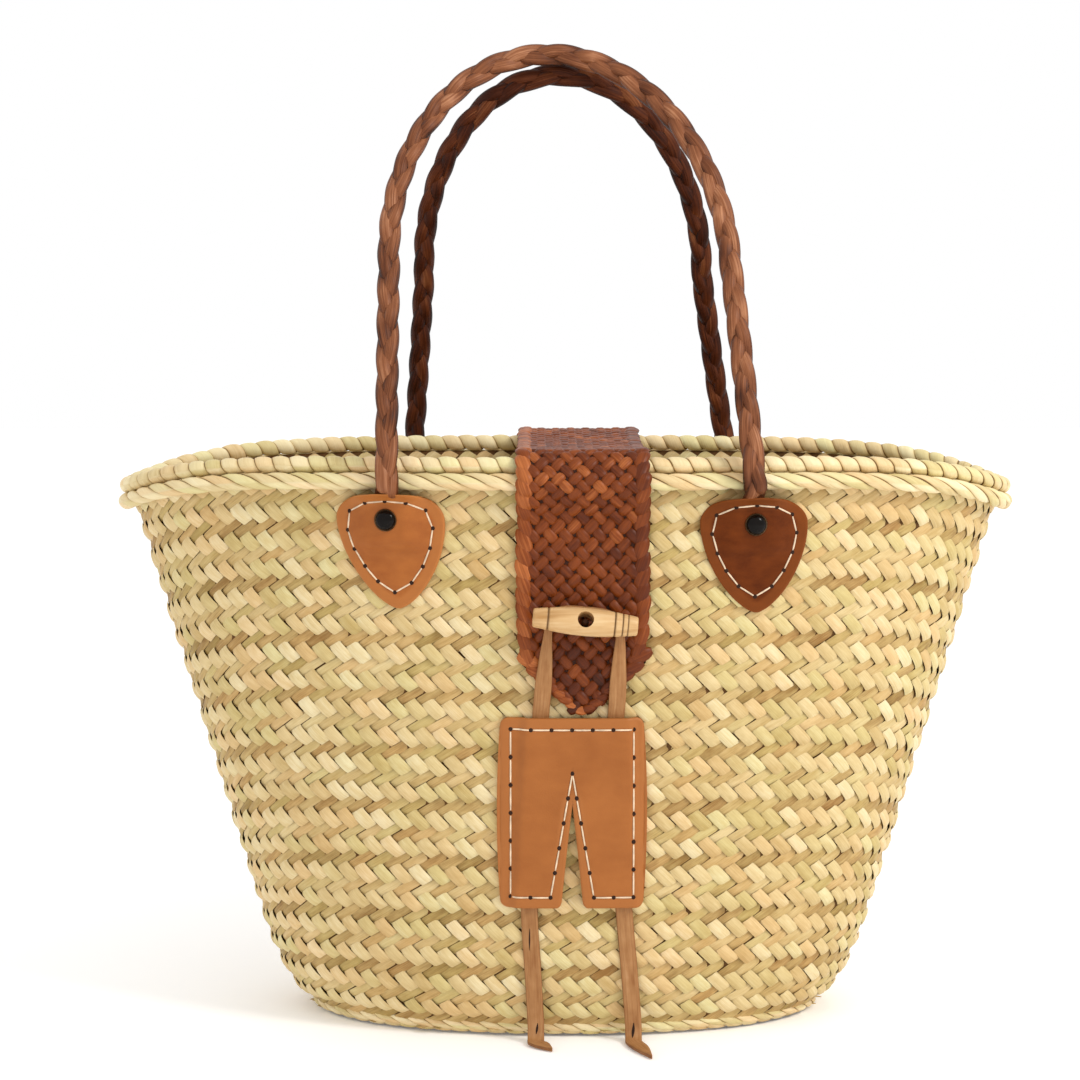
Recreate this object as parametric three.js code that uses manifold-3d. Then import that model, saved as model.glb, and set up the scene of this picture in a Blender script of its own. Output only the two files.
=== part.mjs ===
// A straw basket bag: a hollow plaited basket with a wrapped rim, two braided leather handles held by
// riveted tabs, a woven leather closing strap with a wooden toggle, and a patch with its laced thong.
// Millimetres, +Z up, the front faces -Y. The origin is the centre of the base's flat underside.

import * as THREE from 'three';
import { mergeVertices } from 'three/addons/utils/BufferGeometryUtils.js';
import Module from 'manifold-3d';

const wasm = await Module();
wasm.setup();

const { lerp, degToRad } = THREE.MathUtils;

// Clearance between pieces that touch
const gap = 0.3;

// Basket wall and base; the wall's height is taken at the front, and its two ends dip by endDrop
const wallThickness = 3;
const baseThickness = 3;
const wallHeight = 321.5;
const footHalfLength = 162.3;
const rimHalfLength = 257.7;
const footHalfDepth = 91;
const rimHalfDepth = 106;
const planPower = 2.15;
const edgeTuckLength = 20.5;
const edgeTuckDepth = 12;
const edgeTuckHeight = 13.9;
const endDrop = 19;
const endDropPower = 6;

// Rim: a wrapped coil on the wall's edge, and a twisted rope outside the wall, just under the coil
const coilRadius = 4.6;
const coilEndOut = 5;
const coilSeat = 1.5 * gap;
const ropeRadius = 4.6;
const ropeSeat = 2 * gap;
const ropeBelowEdge = 3.7;

// Handles: a round braid whose ends are pressed flat into tongues under the tabs. The heights of the
// spring and the apex are taken above the wall's edge, and a tab's drop below it.
const handleDiameter = 13.2;
const handleBow = 1.35;
const handleApex = 235.5;
const handleSpring = 115.5;
const handleArch = 95.2;
const handleLean = 6.5;
const handleSpread = 100;
const apexApart = 5;
const tongueWidth = 16;
const tongueThickness = 5;
const tongueBelowRivet = 9;
const tabDrop = 9;
const tabSkew = 5.8;

// Every number here is a share: apex of handleApex, spring of handleSpring, arch and centre of handleArch,
// lean of handleLean, across of handleSpread, drop of tabDrop, skew of tabSkew
const handles = [
  {
    name: 'front', side: -1, apex: 1, spring: 1, arch: 1, centre: -0.039, lean: -0.94, colour: 0x8b5e40,
    feet: [
      { name: 'left', across: -0.985, drop: 1, skew: 1, colour: 0xab6931 },
      { name: 'right', across: 1.03, drop: 1.28, skew: 0.35, colour: 0x6e3815 },
    ],
  },
  {
    name: 'back', side: 1, apex: 0.953, spring: 0.94, arch: 0.885, centre: -0.008, lean: -0.45,
    colour: 0x5a3220,
    feet: [
      { name: 'left', across: -0.94, drop: 1.05, skew: 0.5, colour: 0xab6931 },
      { name: 'right', across: 1.02, drop: 1.17, skew: -0.5, colour: 0x6e3815 },
    ],
  },
];

// Shield-shaped tabs over the tongues, and their domed rivets
const tabWidth = 60;
const tabHeight = 66;
const tabShoulder = 16.5;
const tabThickness = 2.5;
const tabSeam = 4;
const tabTopPower = 2.2;
const tabTipPower = 1.5;
const tabTipRoundness = 0.58;
const tabDipStart = 2.5 * tongueThickness;
const tabDipRun = 2 * tongueThickness;
const rivetBelowTop = 15.5;
const rivetDiameter = 12.5;
const rivetRim = 0.8;
const rivetDome = 3.2;

// Front patch: a block with a notch cut up into it from below
const patchLeft = -38.6;
const patchRight = 44.8;
const patchBottom = 78;
const patchTop = 186;
const patchThickness = 3;
const patchCorner = 4.5;
const notchLeft = -2.9;
const notchRight = 9.5;
const notchHeight = 59;
const notchLean = 0.2;

// Woven closing strap; its tip ends just over the patch
const strapTipAbovePatch = 1;
const strapCentre = 9;
const strapWidth = 73;
const strapThickness = 4;
const strapTaper = 30;
const strapSag = 5;
const strapBackLength = 75;
const strapLeave = 20;
const strapTipRoundness = 0.25;
const strapRopeBend = [-32, 40].map(degToRad);
const strapCoilBend = [42, 94].map(degToRad);
const strapTipHeight = patchTop + strapTipAbovePatch;

// Toggle, the bore through it, and the lace that holds it to the strap
const toggleLength = 58;
const toggleDiameter = 15.6;
const toggleCentre = 10;
const toggleAboveTip = 55;
const toggleTilt = degToRad(-5);
const toggleBore = 9;
const toggleBoreTilt = degToRad(20);
const laceDiameter = 4;
const toggleSeatShare = 0.9;
const toggleHeight = strapTipHeight + toggleAboveTip;

// Closing thong: one lace, from a free tail up under the patch, round behind the toggle, and down again
const thongWidth = 9.5;
const thongThickness = 2.5;
const thongNarrow = 4.2;
const thongOverAxis = 5;
const thongBend = 7;
const thongHangs = 3.2;
const floorClearance = 0.1;
const thongSpread = 20;
const thongTail = 36;

// The patch lies over the thong's legs: it stays off the wall this far past their edges, then comes down
const patchFlatPast = 1.55;
const patchFadePast = 7.65;
const patchLiftFlat = thongWidth / 2 + patchFlatPast;
const patchLiftFade = thongWidth / 2 + patchFadePast;

// Every place here is a share of thongSpread from the strap's middle line, and reach of thongTail
const thongLegs = [
  { toggle: -0.925, top: -1.17, bottom: -1.485, land: -1.3, tip: -0.85, reach: 0.6 },
  { toggle: 1.04, top: 0.92, bottom: 1.16, land: 1.45, tip: 1.9, reach: 1.05 },
].map(({ reach, ...places }) => ({
  reach: reach * thongTail,
  ...Object.fromEntries(Object.entries(places).map(([place, share]) =>
    [place, strapCentre + share * thongSpread])),
}));

// Shared shapes

const signedPower = (value, power) => Math.sign(value) * Math.abs(value) ** power;

// A smooth step from 0 to 1
function ease(share) {
  const t = THREE.MathUtils.clamp(share, 0, 1);
  return t * t * (3 - 2 * t);
}

// 1 on a flat top of this half width, easing to 0 at the fade distance
const lift = (distance, flat, fade) => 1 - ease((Math.abs(distance) - flat) / (fade - flat));

const spread = (count, from, to) =>
  Array.from({ length: count + 1 }, (_, i) => lerp(from, to, i / count));

// A closed mesh from its points and triangles, with its faces turned outwards
function closedGeometry(points, triangles) {
  const volume = triangles.reduce((sum, [a, b, c]) =>
    sum + points[a].dot(points[b].clone().cross(points[c])), 0);
  const turned = volume < 0 ? triangles.map(([a, b, c]) => [a, c, b]) : triangles;
  const geometry = new THREE.BufferGeometry().setFromPoints(points);
  geometry.setIndex(turned.flat());
  geometry.computeVertexNormals();
  return geometry;
}

// A closed solid through rings of points, capped at both ends, or joined into a loop
function ringSolid(rings, looped = false) {
  const sides = rings[0].length;
  const points = rings.flat();
  const triangles = [];
  const stretches = looped ? rings.length : rings.length - 1;
  for (let i = 0; i < stretches; i++) {
    const here = i * sides;
    const there = ((i + 1) % rings.length) * sides;
    for (let j = 0; j < sides; j++) {
      const next = (j + 1) % sides;
      triangles.push([here + j, there + j, there + next], [here + j, there + next, here + next]);
    }
  }
  if (!looped) {
    for (const [ring, start, flip] of [[rings[0], 0, false], [rings.at(-1), points.length - sides, true]]) {
      const centre = points.length;
      points.push(ring.reduce((sum, p) => sum.add(p), new THREE.Vector3()).divideScalar(sides));
      for (let j = 0; j < sides; j++) {
        const edge = [start + j, start + ((j + 1) % sides)];
        triangles.push(flip ? [centre, ...edge.reverse()] : [centre, ...edge]);
      }
    }
  }
  return closedGeometry(points, triangles);
}

// A closed solid between an inner and an outer face, each a grid: place(column, row, face) gives a point
function sheetSolid(columns, rows, place) {
  const points = [];
  for (const face of [0, 1]) {
    for (let row = 0; row <= rows; row++) {
      for (let column = 0; column <= columns; column++) points.push(place(column, row, face));
    }
  }
  const at = (column, row, face) => (face * (rows + 1) + row) * (columns + 1) + column;
  const triangles = [];
  const quad = (a, b, c, d) => triangles.push([a, b, c], [a, c, d]);
  for (let row = 0; row < rows; row++) {
    for (let column = 0; column < columns; column++) {
      quad(at(column, row, 0), at(column + 1, row, 0), at(column + 1, row + 1, 0), at(column, row + 1, 0));
      quad(at(column, row, 1), at(column, row + 1, 1), at(column + 1, row + 1, 1), at(column + 1, row, 1));
    }
    quad(at(0, row, 0), at(0, row + 1, 0), at(0, row + 1, 1), at(0, row, 1));
    quad(at(columns, row, 0), at(columns, row, 1), at(columns, row + 1, 1), at(columns, row + 1, 0));
  }
  for (let column = 0; column < columns; column++) {
    quad(at(column, 0, 0), at(column, 0, 1), at(column + 1, 0, 1), at(column + 1, 0, 0));
    quad(at(column, rows, 0), at(column + 1, rows, 0), at(column + 1, rows, 1), at(column, rows, 1));
  }
  return closedGeometry(points, triangles);
}

// A closed solid along stations; each has its centre, the side it faces, its width and its thickness
function ribbonSolid(stations, sides, squareness) {
  const rings = stations.map(({ centre, facing, width, thickness, level }, i) => {
    const before = stations[Math.max(i - 1, 0)].centre;
    const after = stations[Math.min(i + 1, stations.length - 1)].centre;
    const along = after.clone().sub(before).normalize();
    if (level) along.set(0, 0, Math.sign(along.z));
    const out = facing.clone().addScaledVector(along, -facing.dot(along)).normalize();
    const across = along.clone().cross(out);
    return Array.from({ length: sides }, (_, j) => {
      const angle = (2 * Math.PI * (j + 0.5)) / sides;
      return centre.clone()
        .addScaledVector(across, signedPower(Math.cos(angle), squareness) * width / 2)
        .addScaledVector(out, signedPower(Math.sin(angle), squareness) * thickness / 2);
    });
  });
  return ringSolid(rings);
}

function toManifold(geometry) {
  const bare = geometry.clone();
  for (const name of ['normal', 'uv']) bare.deleteAttribute(name);
  const merged = mergeVertices(bare, 1e-4);
  return new wasm.Manifold(new wasm.Mesh({
    numProp: 3,
    vertProperties: Float32Array.from(merged.getAttribute('position').array),
    triVerts: Uint32Array.from(merged.getIndex().array),
  }));
}

function fromManifold(solid) {
  const { vertProperties, triVerts } = solid.getMesh();
  const geometry = new THREE.BufferGeometry();
  geometry.setAttribute('position', new THREE.BufferAttribute(vertProperties, 3));
  geometry.setIndex(new THREE.BufferAttribute(triVerts, 1));
  geometry.computeVertexNormals();
  return geometry;
}

// The basket's form

// Half length and half depth of the plan at a height
function halfSizes(height) {
  const rise = height / wallHeight;
  const tuck = Math.exp(-height / edgeTuckHeight);
  return {
    length: lerp(footHalfLength, rimHalfLength, rise) - edgeTuckLength * tuck,
    depth: lerp(footHalfDepth, rimHalfDepth, rise) - edgeTuckDepth * tuck,
  };
}

// A point by its angle round the plan and its share of the wall's height, moved outwards and up
function wallPoint(angle, rise, outward = 0, up = 0) {
  const drop = endDrop * (1 - (1 - rise) ** 3) * Math.abs(Math.cos(angle)) ** endDropPower;
  const height = rise * wallHeight - drop;
  const half = halfSizes(height);
  const shareX = signedPower(Math.cos(angle), 2 / planPower);
  const shareY = signedPower(Math.sin(angle), 2 / planPower);
  const normal = new THREE.Vector2(
    signedPower(shareX, planPower - 1) / half.length,
    signedPower(shareY, planPower - 1) / half.depth,
  ).normalize();
  return new THREE.Vector3(
    shareX * half.length + normal.x * outward,
    shareY * half.depth + normal.y * outward,
    height + up,
  );
}

function wallDepth(x, height) {
  const half = halfSizes(height);
  return half.depth * (1 - Math.abs(x / half.length) ** planPower) ** (1 / planPower);
}

// Outward direction of the wall, on the front (side -1) or the back (side 1)
function wallNormal(side, x, height) {
  const step = 0.5;
  const slopeX = (wallDepth(x + step, height) - wallDepth(x - step, height)) / (2 * step);
  const slopeZ = (wallDepth(x, height + step) - wallDepth(x, height - step)) / (2 * step);
  return new THREE.Vector3(-slopeX, side, -slopeZ).normalize();
}

function onWall(side, x, height, outward) {
  return new THREE.Vector3(x, side * wallDepth(x, height), height)
    .addScaledVector(wallNormal(side, x, height), outward);
}

const wallSegments = 60;
const wallAngles = spread(wallSegments, 0, 2 * Math.PI).slice(0, -1);

function basketBody() {
  const rises = [0, 0.012, 0.03, 0.055, 0.09, 0.15, 0.28, 0.45, 0.62, 0.8, 1];
  const floorRise = baseThickness / wallHeight;
  const insideRises = [floorRise, ...rises.filter((rise) => rise > 2 * floorRise)].reverse();
  const ring = (rise, outward, height) => wallAngles.map((angle) => {
    const point = wallPoint(angle, rise, outward);
    return height === undefined ? point : point.setZ(height);
  });
  return ringSolid([
    ...rises.map((rise) => ring(rise, 0, rise === 0 ? 0 : undefined)),
    ...insideRises.map((rise) => ring(rise, -wallThickness, rise === floorRise ? baseThickness : undefined)),
  ]);
}

// The rim

const coilUp = gap + coilRadius;
const coilTop = wallHeight + coilUp + coilRadius;
const ropeRise = 1 - ropeBelowEdge / wallHeight;
const ropeOut = ropeSeat + ropeRadius;
const ropeReach = ropeOut + ropeRadius;
const ropeHeight = ropeRise * wallHeight;

// At the bag's ends the coil moves out and lies on the rope
const coilEndUp = Math.max(0, Math.sqrt((coilRadius + ropeRadius + coilSeat) ** 2
  - (ropeOut + wallThickness / 2 - coilEndOut) ** 2) - ropeBelowEdge - coilUp);

// Where each cord of the rim lies at an angle round the bag
const ropePlace = () => ({ outward: ropeOut, up: 0 });
const coilPlace = (angle) => {
  const end = Math.abs(Math.cos(angle)) ** endDropPower;
  return { outward: coilEndOut * end - wallThickness / 2, up: coilUp + coilEndUp * end };
};

function rimRing(rise, place, radius) {
  const sides = 8;
  return ringSolid(wallAngles.map((angle) => spread(sides, 0, 2 * Math.PI).slice(0, -1).map((turn) => {
    const { outward, up } = place(angle);
    return wallPoint(angle, rise, outward + radius * Math.cos(turn), up + radius * Math.sin(turn));
  })), true);
}

// Handles, tabs and rivets

const footX = (foot) => foot.across * handleSpread;
const tabTop = (foot) => wallHeight - foot.drop * tabDrop;
const rivetHeight = (foot) => tabTop(foot) - rivetBelowTop;
const plateauTop = (foot) => rivetHeight(foot) + rivetDiameter / 2 + gap;

// How far the handle's root stands off the wall at a height, and how thick it is there
function rootSection(foot, height) {
  const climb = ease((height - plateauTop(foot)) / (ropeHeight - plateauTop(foot)));
  return {
    inner: gap + (ropeReach + gap) * climb,
    thickness: lerp(tongueThickness, handleDiameter, climb ** 3),
    width: lerp(tongueWidth, handleDiameter, climb),
  };
}

function handleSolid(handle) {
  const rootSteps = 8;
  const legSteps = 5;
  const archSteps = 22;
  const footDepth = wallDepth(footX(handle.feet[0]), ropeHeight) + ropeReach + 2 * gap + handleDiameter / 2;
  const facing = new THREE.Vector3(0, handle.side, 0);
  const apexHeight = wallHeight + handle.apex * handleApex;
  const springHeight = wallHeight + handle.spring * handleSpring;
  const leanIn = (height) => {
    const rise = (height - ropeHeight) / (apexHeight - ropeHeight);
    return handle.side * lerp(footDepth, apexApart, rise ** handleBow);
  };
  const round = (x, height) => ({
    centre: new THREE.Vector3(x, leanIn(height), height),
    facing, width: handleDiameter, thickness: handleDiameter,
  });
  const root = (foot) => spread(rootSteps, rivetHeight(foot) - tongueBelowRivet, ropeHeight).map((height) => {
    const { inner, thickness, width } = rootSection(foot, height);
    return {
      centre: onWall(handle.side, footX(foot), height, inner + thickness / 2).setX(footX(foot)).setZ(height),
      facing: wallNormal(handle.side, footX(foot), height), width, thickness, level: true,
    };
  });
  const archX = (angle) => handleArch * (handle.centre + handle.arch * Math.cos(angle))
    + handle.lean * handleLean * Math.sin(angle);
  const leg = (foot, springX) => spread(legSteps, 0, 1).slice(1, -1).map((share) =>
    round(lerp(footX(foot), springX, share), lerp(ropeHeight, springHeight, share)));
  const arch = spread(archSteps, Math.PI, 0).map((angle) => round(
    archX(angle),
    springHeight + (apexHeight - springHeight) * Math.sin(angle),
  ));
  const [left, right] = handle.feet;
  return ribbonSolid([
    ...root(left), ...leg(left, archX(Math.PI)), ...arch,
    ...leg(right, archX(0)).reverse(), ...root(right).reverse(),
  ], 8, 1);
}

// A point of the tab's inner face (0) or outer face (1) that lies dx from its middle
function tabPoint(handle, foot, dx, height, face) {
  const { inner, thickness } = rootSection(foot, height);
  const tongueEnd = rivetHeight(foot) - tongueBelowRivet;
  const down = ease((height - (tongueEnd - tabDipStart)) / tabDipRun);
  const over = lift(dx, tongueWidth / 2 + gap, tabWidth / 2 - tabSeam);
  const outward = gap + (inner + thickness) * over * down + face * tabThickness;
  return onWall(handle.side, footX(foot) + dx, height, outward);
}

function tabSolid(handle, foot) {
  const columns = 14;
  const rows = 10;
  const edgeShare = 0.985;
  const shoulderHeight = tabTop(foot) - tabShoulder;
  return sheetSolid(columns, rows, (column, row, face) => {
    const across = edgeShare * Math.sin(Math.PI * (column / columns - 0.5));
    const top = tabShoulder * (1 - Math.abs(across) ** tabTopPower) ** (1 / tabTopPower);
    const bottom = (tabHeight - tabShoulder) * (1 - Math.abs(across) ** tabTipPower) ** tabTipRoundness;
    const height = lerp(shoulderHeight - bottom, shoulderHeight + top, row / rows);
    const below = (tabTop(foot) - height) / tabHeight;
    return tabPoint(handle, foot, across * tabWidth / 2 + foot.skew * tabSkew * below, height, face);
  });
}

function rivetMesh(handle, foot) {
  const radius = rivetDiameter / 2;
  const dome = spread(3, 0, Math.PI / 2).map((angle) =>
    new THREE.Vector2(radius * Math.cos(angle), rivetRim + rivetDome * Math.sin(angle)));
  const profile = [new THREE.Vector2(0, 0), new THREE.Vector2(radius, 0), ...dome.slice(0, -1),
    new THREE.Vector2(0, rivetRim + rivetDome)];
  const geometry = new THREE.LatheGeometry(profile, 12).rotateX(Math.PI / 2);
  const height = rivetHeight(foot);
  const normal = wallNormal(handle.side, footX(foot), height);
  geometry.applyQuaternion(new THREE.Quaternion().setFromUnitVectors(new THREE.Vector3(0, 0, 1), normal));
  const seat = tabPoint(handle, foot, 0, height, 1).addScaledVector(normal, 2 * gap);
  return { geometry, seat };
}

// The closing strap

// The strap's inner face at its middle line, as [depth, height, half width] from the tip to the back end
function strapRoute() {
  const halfWidth = strapWidth / 2;
  const side = (sign) => {
    const wallAt = (height) => sign * (wallDepth(strapCentre, height) + gap);
    const roll = (depth, height, radius, angles) => angles.map((angle) => [
      sign * (depth + (radius + gap) * Math.cos(angle)), height + (radius + gap) * Math.sin(angle), halfWidth,
    ]);
    const edgeDepth = wallDepth(strapCentre, wallHeight);
    const ropeDepth = wallDepth(strapCentre, ropeHeight) + ropeOut;
    const coilDepth = edgeDepth - wallThickness / 2;
    return {
      wallAt,
      overRim: [
        ...roll(ropeDepth, ropeHeight, ropeRadius, spread(4, ...strapRopeBend)),
        ...roll(coilDepth, wallHeight + coilUp, coilRadius, spread(3, ...strapCoilBend)),
      ],
    };
  };
  const front = side(-1);
  const back = side(1);
  const taper = [0.02, 0.06, 0.14, 0.28, 0.5, 0.75, 1].map((share) => {
    const height = strapTipHeight + strapTaper * share;
    return [front.wallAt(height), height, halfWidth * lerp(share, Math.sqrt(share), strapTipRoundness)];
  });
  const leave = ropeHeight - strapLeave;
  const rising = spread(5, strapTipHeight + strapTaper, leave).slice(1)
    .map((height) => [front.wallAt(height), height, halfWidth]);
  const across = spread(6, -1, 1).slice(1, -1).map((share) => [
    share * (rimHalfDepth - coilRadius * 2),
    coilTop + gap - strapSag * (1 - share ** 2), halfWidth,
  ]);
  const falling = spread(4, leave, coilTop - strapBackLength)
    .map((height) => [back.wallAt(height), height, halfWidth]);
  return [...taper, ...rising, ...front.overRim, ...across, ...back.overRim.reverse(), ...falling];
}

function strapSolid() {
  const route = strapRoute();
  const columns = 4;
  const middle = route.map(([depth, height]) => new THREE.Vector2(depth, height));
  const normals = middle.map((_, i) => {
    const before = middle[Math.max(i - 1, 0)];
    const after = middle[Math.min(i + 1, middle.length - 1)];
    const along = after.clone().sub(before).normalize();
    return new THREE.Vector2(-along.y, along.x);
  });
  return sheetSolid(columns, route.length - 1, (column, row, face) => {
    const x = strapCentre + (2 * column / columns - 1) * route[row][2];
    const { x: depth, y: height } = middle[row].clone().addScaledVector(normals[row], face * strapThickness);
    const level = Math.min(height, wallHeight);
    const follow = wallDepth(x, level) / wallDepth(strapCentre, level);
    return new THREE.Vector3(x, depth * follow, height);
  });
}

// Toggle and its lace

const strapFace = gap + strapThickness;
const thongOut = strapFace + gap + thongThickness / 2;
const toggleOut = strapFace + 2 * gap + thongThickness + toggleSeatShare * toggleDiameter / 2;

function toggleFrame() {
  return {
    place: onWall(-1, toggleCentre, toggleHeight, toggleOut),
    facing: wallNormal(-1, toggleCentre, toggleHeight),
  };
}

function toggleSolid() {
  // share: from the middle to an end; radius: share of the middle radius
  const profile = [
    { share: -1, radius: 0.62 }, { share: -0.97, radius: 0.69 }, { share: -0.73, radius: 0.79 },
    { share: -0.71, radius: 0.73 }, { share: -0.69, radius: 0.81 }, { share: -0.4, radius: 0.94 },
    { share: 0, radius: 1 }, { share: 0.36, radius: 0.95 },
    { share: 0.54, radius: 0.88 }, { share: 0.56, radius: 0.8 }, { share: 0.58, radius: 0.87 },
    { share: 0.69, radius: 0.8 }, { share: 0.71, radius: 0.74 }, { share: 0.73, radius: 0.79 },
    { share: 0.79, radius: 0.76 }, { share: 0.81, radius: 0.71 }, { share: 0.83, radius: 0.75 },
    { share: 0.97, radius: 0.69 }, { share: 1, radius: 0.62 },
  ];
  const outline = profile.map(({ share, radius }) =>
    new THREE.Vector2(radius * toggleDiameter / 2, share * toggleLength / 2));
  const turned = new THREE.LatheGeometry([
    new THREE.Vector2(0, -toggleLength / 2), ...outline, new THREE.Vector2(0, toggleLength / 2),
  ], 16).rotateZ(-Math.PI / 2);
  const bore = new THREE.CylinderGeometry(toggleBore / 2, toggleBore / 2, 2 * toggleDiameter, 12);
  bore.rotateX(-toggleBoreTilt);
  return fromManifold(toManifold(turned).subtract(toManifold(bore)));
}

// The lace runs along the bore, from just off the strap to a point inside the toggle
function laceSolid() {
  const { place, facing } = toggleFrame();
  const inward = facing.clone().negate().applyAxisAngle(new THREE.Vector3(1, 0, 0), -toggleBoreTilt);
  const reach = (toggleOut - strapFace - gap) / Math.cos(toggleBoreTilt)
    - laceDiameter / 2 * Math.tan(toggleBoreTilt);
  const curve = new THREE.LineCurve3(place, place.clone().addScaledVector(inward, reach));
  const section = new THREE.Shape().absarc(0, 0, laceDiameter / 2, 0, 2 * Math.PI);
  return new THREE.ExtrudeGeometry(section, { steps: 1, curveSegments: 10, extrudePath: curve });
}

// Patch

const legMiddle = (leg, height) =>
  lerp(leg.bottom, leg.top, (height - patchBottom) / (patchTop - patchBottom));

function patchSolid() {
  const rows = 6;
  const cornerShares = [0, 0.12, 0.42, 1];
  const cornerCut = 0.9;
  const apexX = (notchLeft + notchRight) / 2;
  const columns = [
    ...cornerShares.map((share) => patchLeft + share * patchCorner),
    ...spread(9, patchLeft + patchCorner, notchLeft).slice(1),
    apexX,
    ...spread(9, notchRight, patchRight - patchCorner).slice(0, -1),
    ...cornerShares.map((share) => patchRight - share * patchCorner).reverse(),
  ];
  const edgeCut = (x) => {
    const inset = Math.max(patchCorner - Math.min(x - patchLeft, patchRight - x), 0);
    return cornerCut * (patchCorner - Math.sqrt(patchCorner ** 2 - inset ** 2));
  };
  return sheetSolid(columns.length - 1, rows, (column, row, face) => {
    const x = columns[column];
    const bottom = patchBottom + (x === apexX ? notchHeight : edgeCut(x));
    const height = lerp(bottom, patchTop - edgeCut(x), row / rows);
    const shift = x === apexX ? notchLean * (height - patchBottom) / notchHeight : 0;
    const [left, right] = thongLegs.map((leg) => legMiddle(leg, height));
    const halfApart = (right - left) / 2;
    const over = lift(x - left - halfApart, halfApart + patchLiftFlat, halfApart + patchLiftFade);
    const outward = gap + (thongThickness + gap) * over + face * patchThickness;
    return onWall(-1, x + shift, height, outward);
  });
}

// Closing thong

// Control points of one leg, from behind the toggle down to the tip of its tail
function thongLegPoints(leg) {
  // rise: share of the way from the patch up to the toggle; off: share of the strap's face; width: share
  const upper = [
    { rise: 0.86, off: 1, width: 0.5 },
    { rise: 0.6, off: 1, width: 0.8 },
    { rise: 0.34, off: 1, width: 1 },
    { rise: 0.17, off: 1, width: 1 },
    { rise: 0.02, off: 0.02, width: 1 },
    { rise: -0.1, off: 0, width: 1 },
  ].map(({ rise, off, width }) => {
    const x = lerp(leg.top, leg.toggle, Math.max(rise, 0));
    const height = lerp(patchTop, toggleHeight, rise);
    const outward = lerp(gap + thongThickness / 2, thongOut, off);
    return {
      centre: onWall(-1, x, height, outward),
      facing: wallNormal(-1, x, height),
      width: thongWidth * width,
    };
  });
  const onSurface = (x, height) => ({
    centre: onWall(-1, x, height, gap + thongThickness / 2),
    facing: wallNormal(-1, x, height),
    width: thongWidth,
  });
  const bendHeight = thongBend + thongThickness / 2 + floorClearance;
  const hangHeight = thongHangs * edgeTuckHeight;
  const lower = [
    ...spread(3, patchTop - 2 * thongWidth, patchBottom)
      .map((height) => onSurface(legMiddle(leg, height), height)),
    onSurface(lerp(leg.bottom, leg.land, 0.5), hangHeight),
  ];
  const start = new THREE.Vector3(leg.land, lower.at(-1).centre.y, bendHeight);
  lower.push({ centre: start, facing: new THREE.Vector3(0, -1, 0), width: thongWidth });
  const turn = spread(4, 0, Math.PI / 2).slice(1).map((angle) => ({
    centre: new THREE.Vector3(
      start.x, start.y - thongBend * (1 - Math.cos(angle)), start.z - thongBend * Math.sin(angle)),
    facing: new THREE.Vector3(0, -Math.cos(angle), Math.sin(angle)),
    width: thongWidth,
  }));
  const land = turn.at(-1).centre;
  const tail = [{ along: 0.4, width: 1 }, { along: 0.8, width: 0.9 }, { along: 1, width: 0.35 }]
    .map(({ along, width }) => ({
      centre: new THREE.Vector3(
        lerp(land.x, leg.tip, along), lerp(land.y, start.y - leg.reach, along), land.z),
      facing: new THREE.Vector3(0, 0, 1),
      width: thongWidth * width,
    }));
  return [...upper, ...lower, ...turn, ...tail];
}

function thongSolid() {
  const [left, right] = thongLegs;
  // along: share of the run between the legs; up: share of thongOverAxis
  const crossing = [
    { along: 0.02, up: -0.1 }, { along: 0.18, up: 0.85 }, { along: 0.5, up: 1 },
    { along: 0.82, up: 0.85 }, { along: 0.98, up: -0.1 },
  ].map(({ along, up }) => {
    const x = lerp(left.toggle, right.toggle, along);
    const height = toggleHeight + Math.tan(toggleTilt) * (x - toggleCentre) + up * thongOverAxis;
    return {
      centre: onWall(-1, x, height, thongOut),
      facing: wallNormal(-1, x, height),
      width: thongNarrow,
    };
  });
  const points = [...thongLegPoints(left).reverse(), ...crossing, ...thongLegPoints(right)];
  const curve = new THREE.CatmullRomCurve3(points.map((point) => point.centre), false, 'centripetal');
  const perStretch = 2;
  const last = points.length - 1;
  const stations = spread(last * perStretch, 0, last).map((at) => {
    const from = Math.min(Math.floor(at), last - 1);
    const share = at - from;
    return {
      centre: curve.getPoint(at / last),
      facing: points[from].facing.clone().lerp(points[from + 1].facing, share).normalize(),
      width: lerp(points[from].width, points[from + 1].width, share),
      thickness: thongThickness,
    };
  });
  return ribbonSolid(stations, 4, 0);
}

// Assembly

const group = new THREE.Group();

function add(name, geometry, color, roughness, metalness = 0) {
  const mesh = new THREE.Mesh(geometry, new THREE.MeshStandardMaterial({ color, roughness, metalness }));
  mesh.name = name;
  group.add(mesh);
  return mesh;
}

add('basket_body', basketBody(), 0xd7b97d, 0.75);
add('rim_coil', rimRing(1, coilPlace, coilRadius), 0xd8bc87, 0.7);
add('rim_rope', rimRing(ropeRise, ropePlace, ropeRadius), 0xd8b880, 0.7);

for (const handle of handles) {
  add(`handle_${handle.name}`, handleSolid(handle), handle.colour, 0.55);
  for (const foot of handle.feet) {
    add(`handle_tab_${handle.name}_${foot.name}`, tabSolid(handle, foot), foot.colour, 0.6);
    const rivet = rivetMesh(handle, foot);
    add(`rivet_${handle.name}_${foot.name}`, rivet.geometry, 0x2a211a, 0.35, 0.8).position.copy(rivet.seat);
  }
}

add('closure_strap', strapSolid(), 0x743a1a, 0.6);

const toggle = toggleFrame();
const toggleMesh = add('toggle', toggleSolid(), 0xc89e6c, 0.5);
toggleMesh.position.copy(toggle.place);
toggleMesh.rotation.y = -toggleTilt;

add('toggle_lace', laceSolid(), 0x5c3620, 0.8);
add('closure_thong', thongSolid(), 0xa17352, 0.65);
add('front_patch', patchSolid(), 0xb16f38, 0.6);

export default group;
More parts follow.
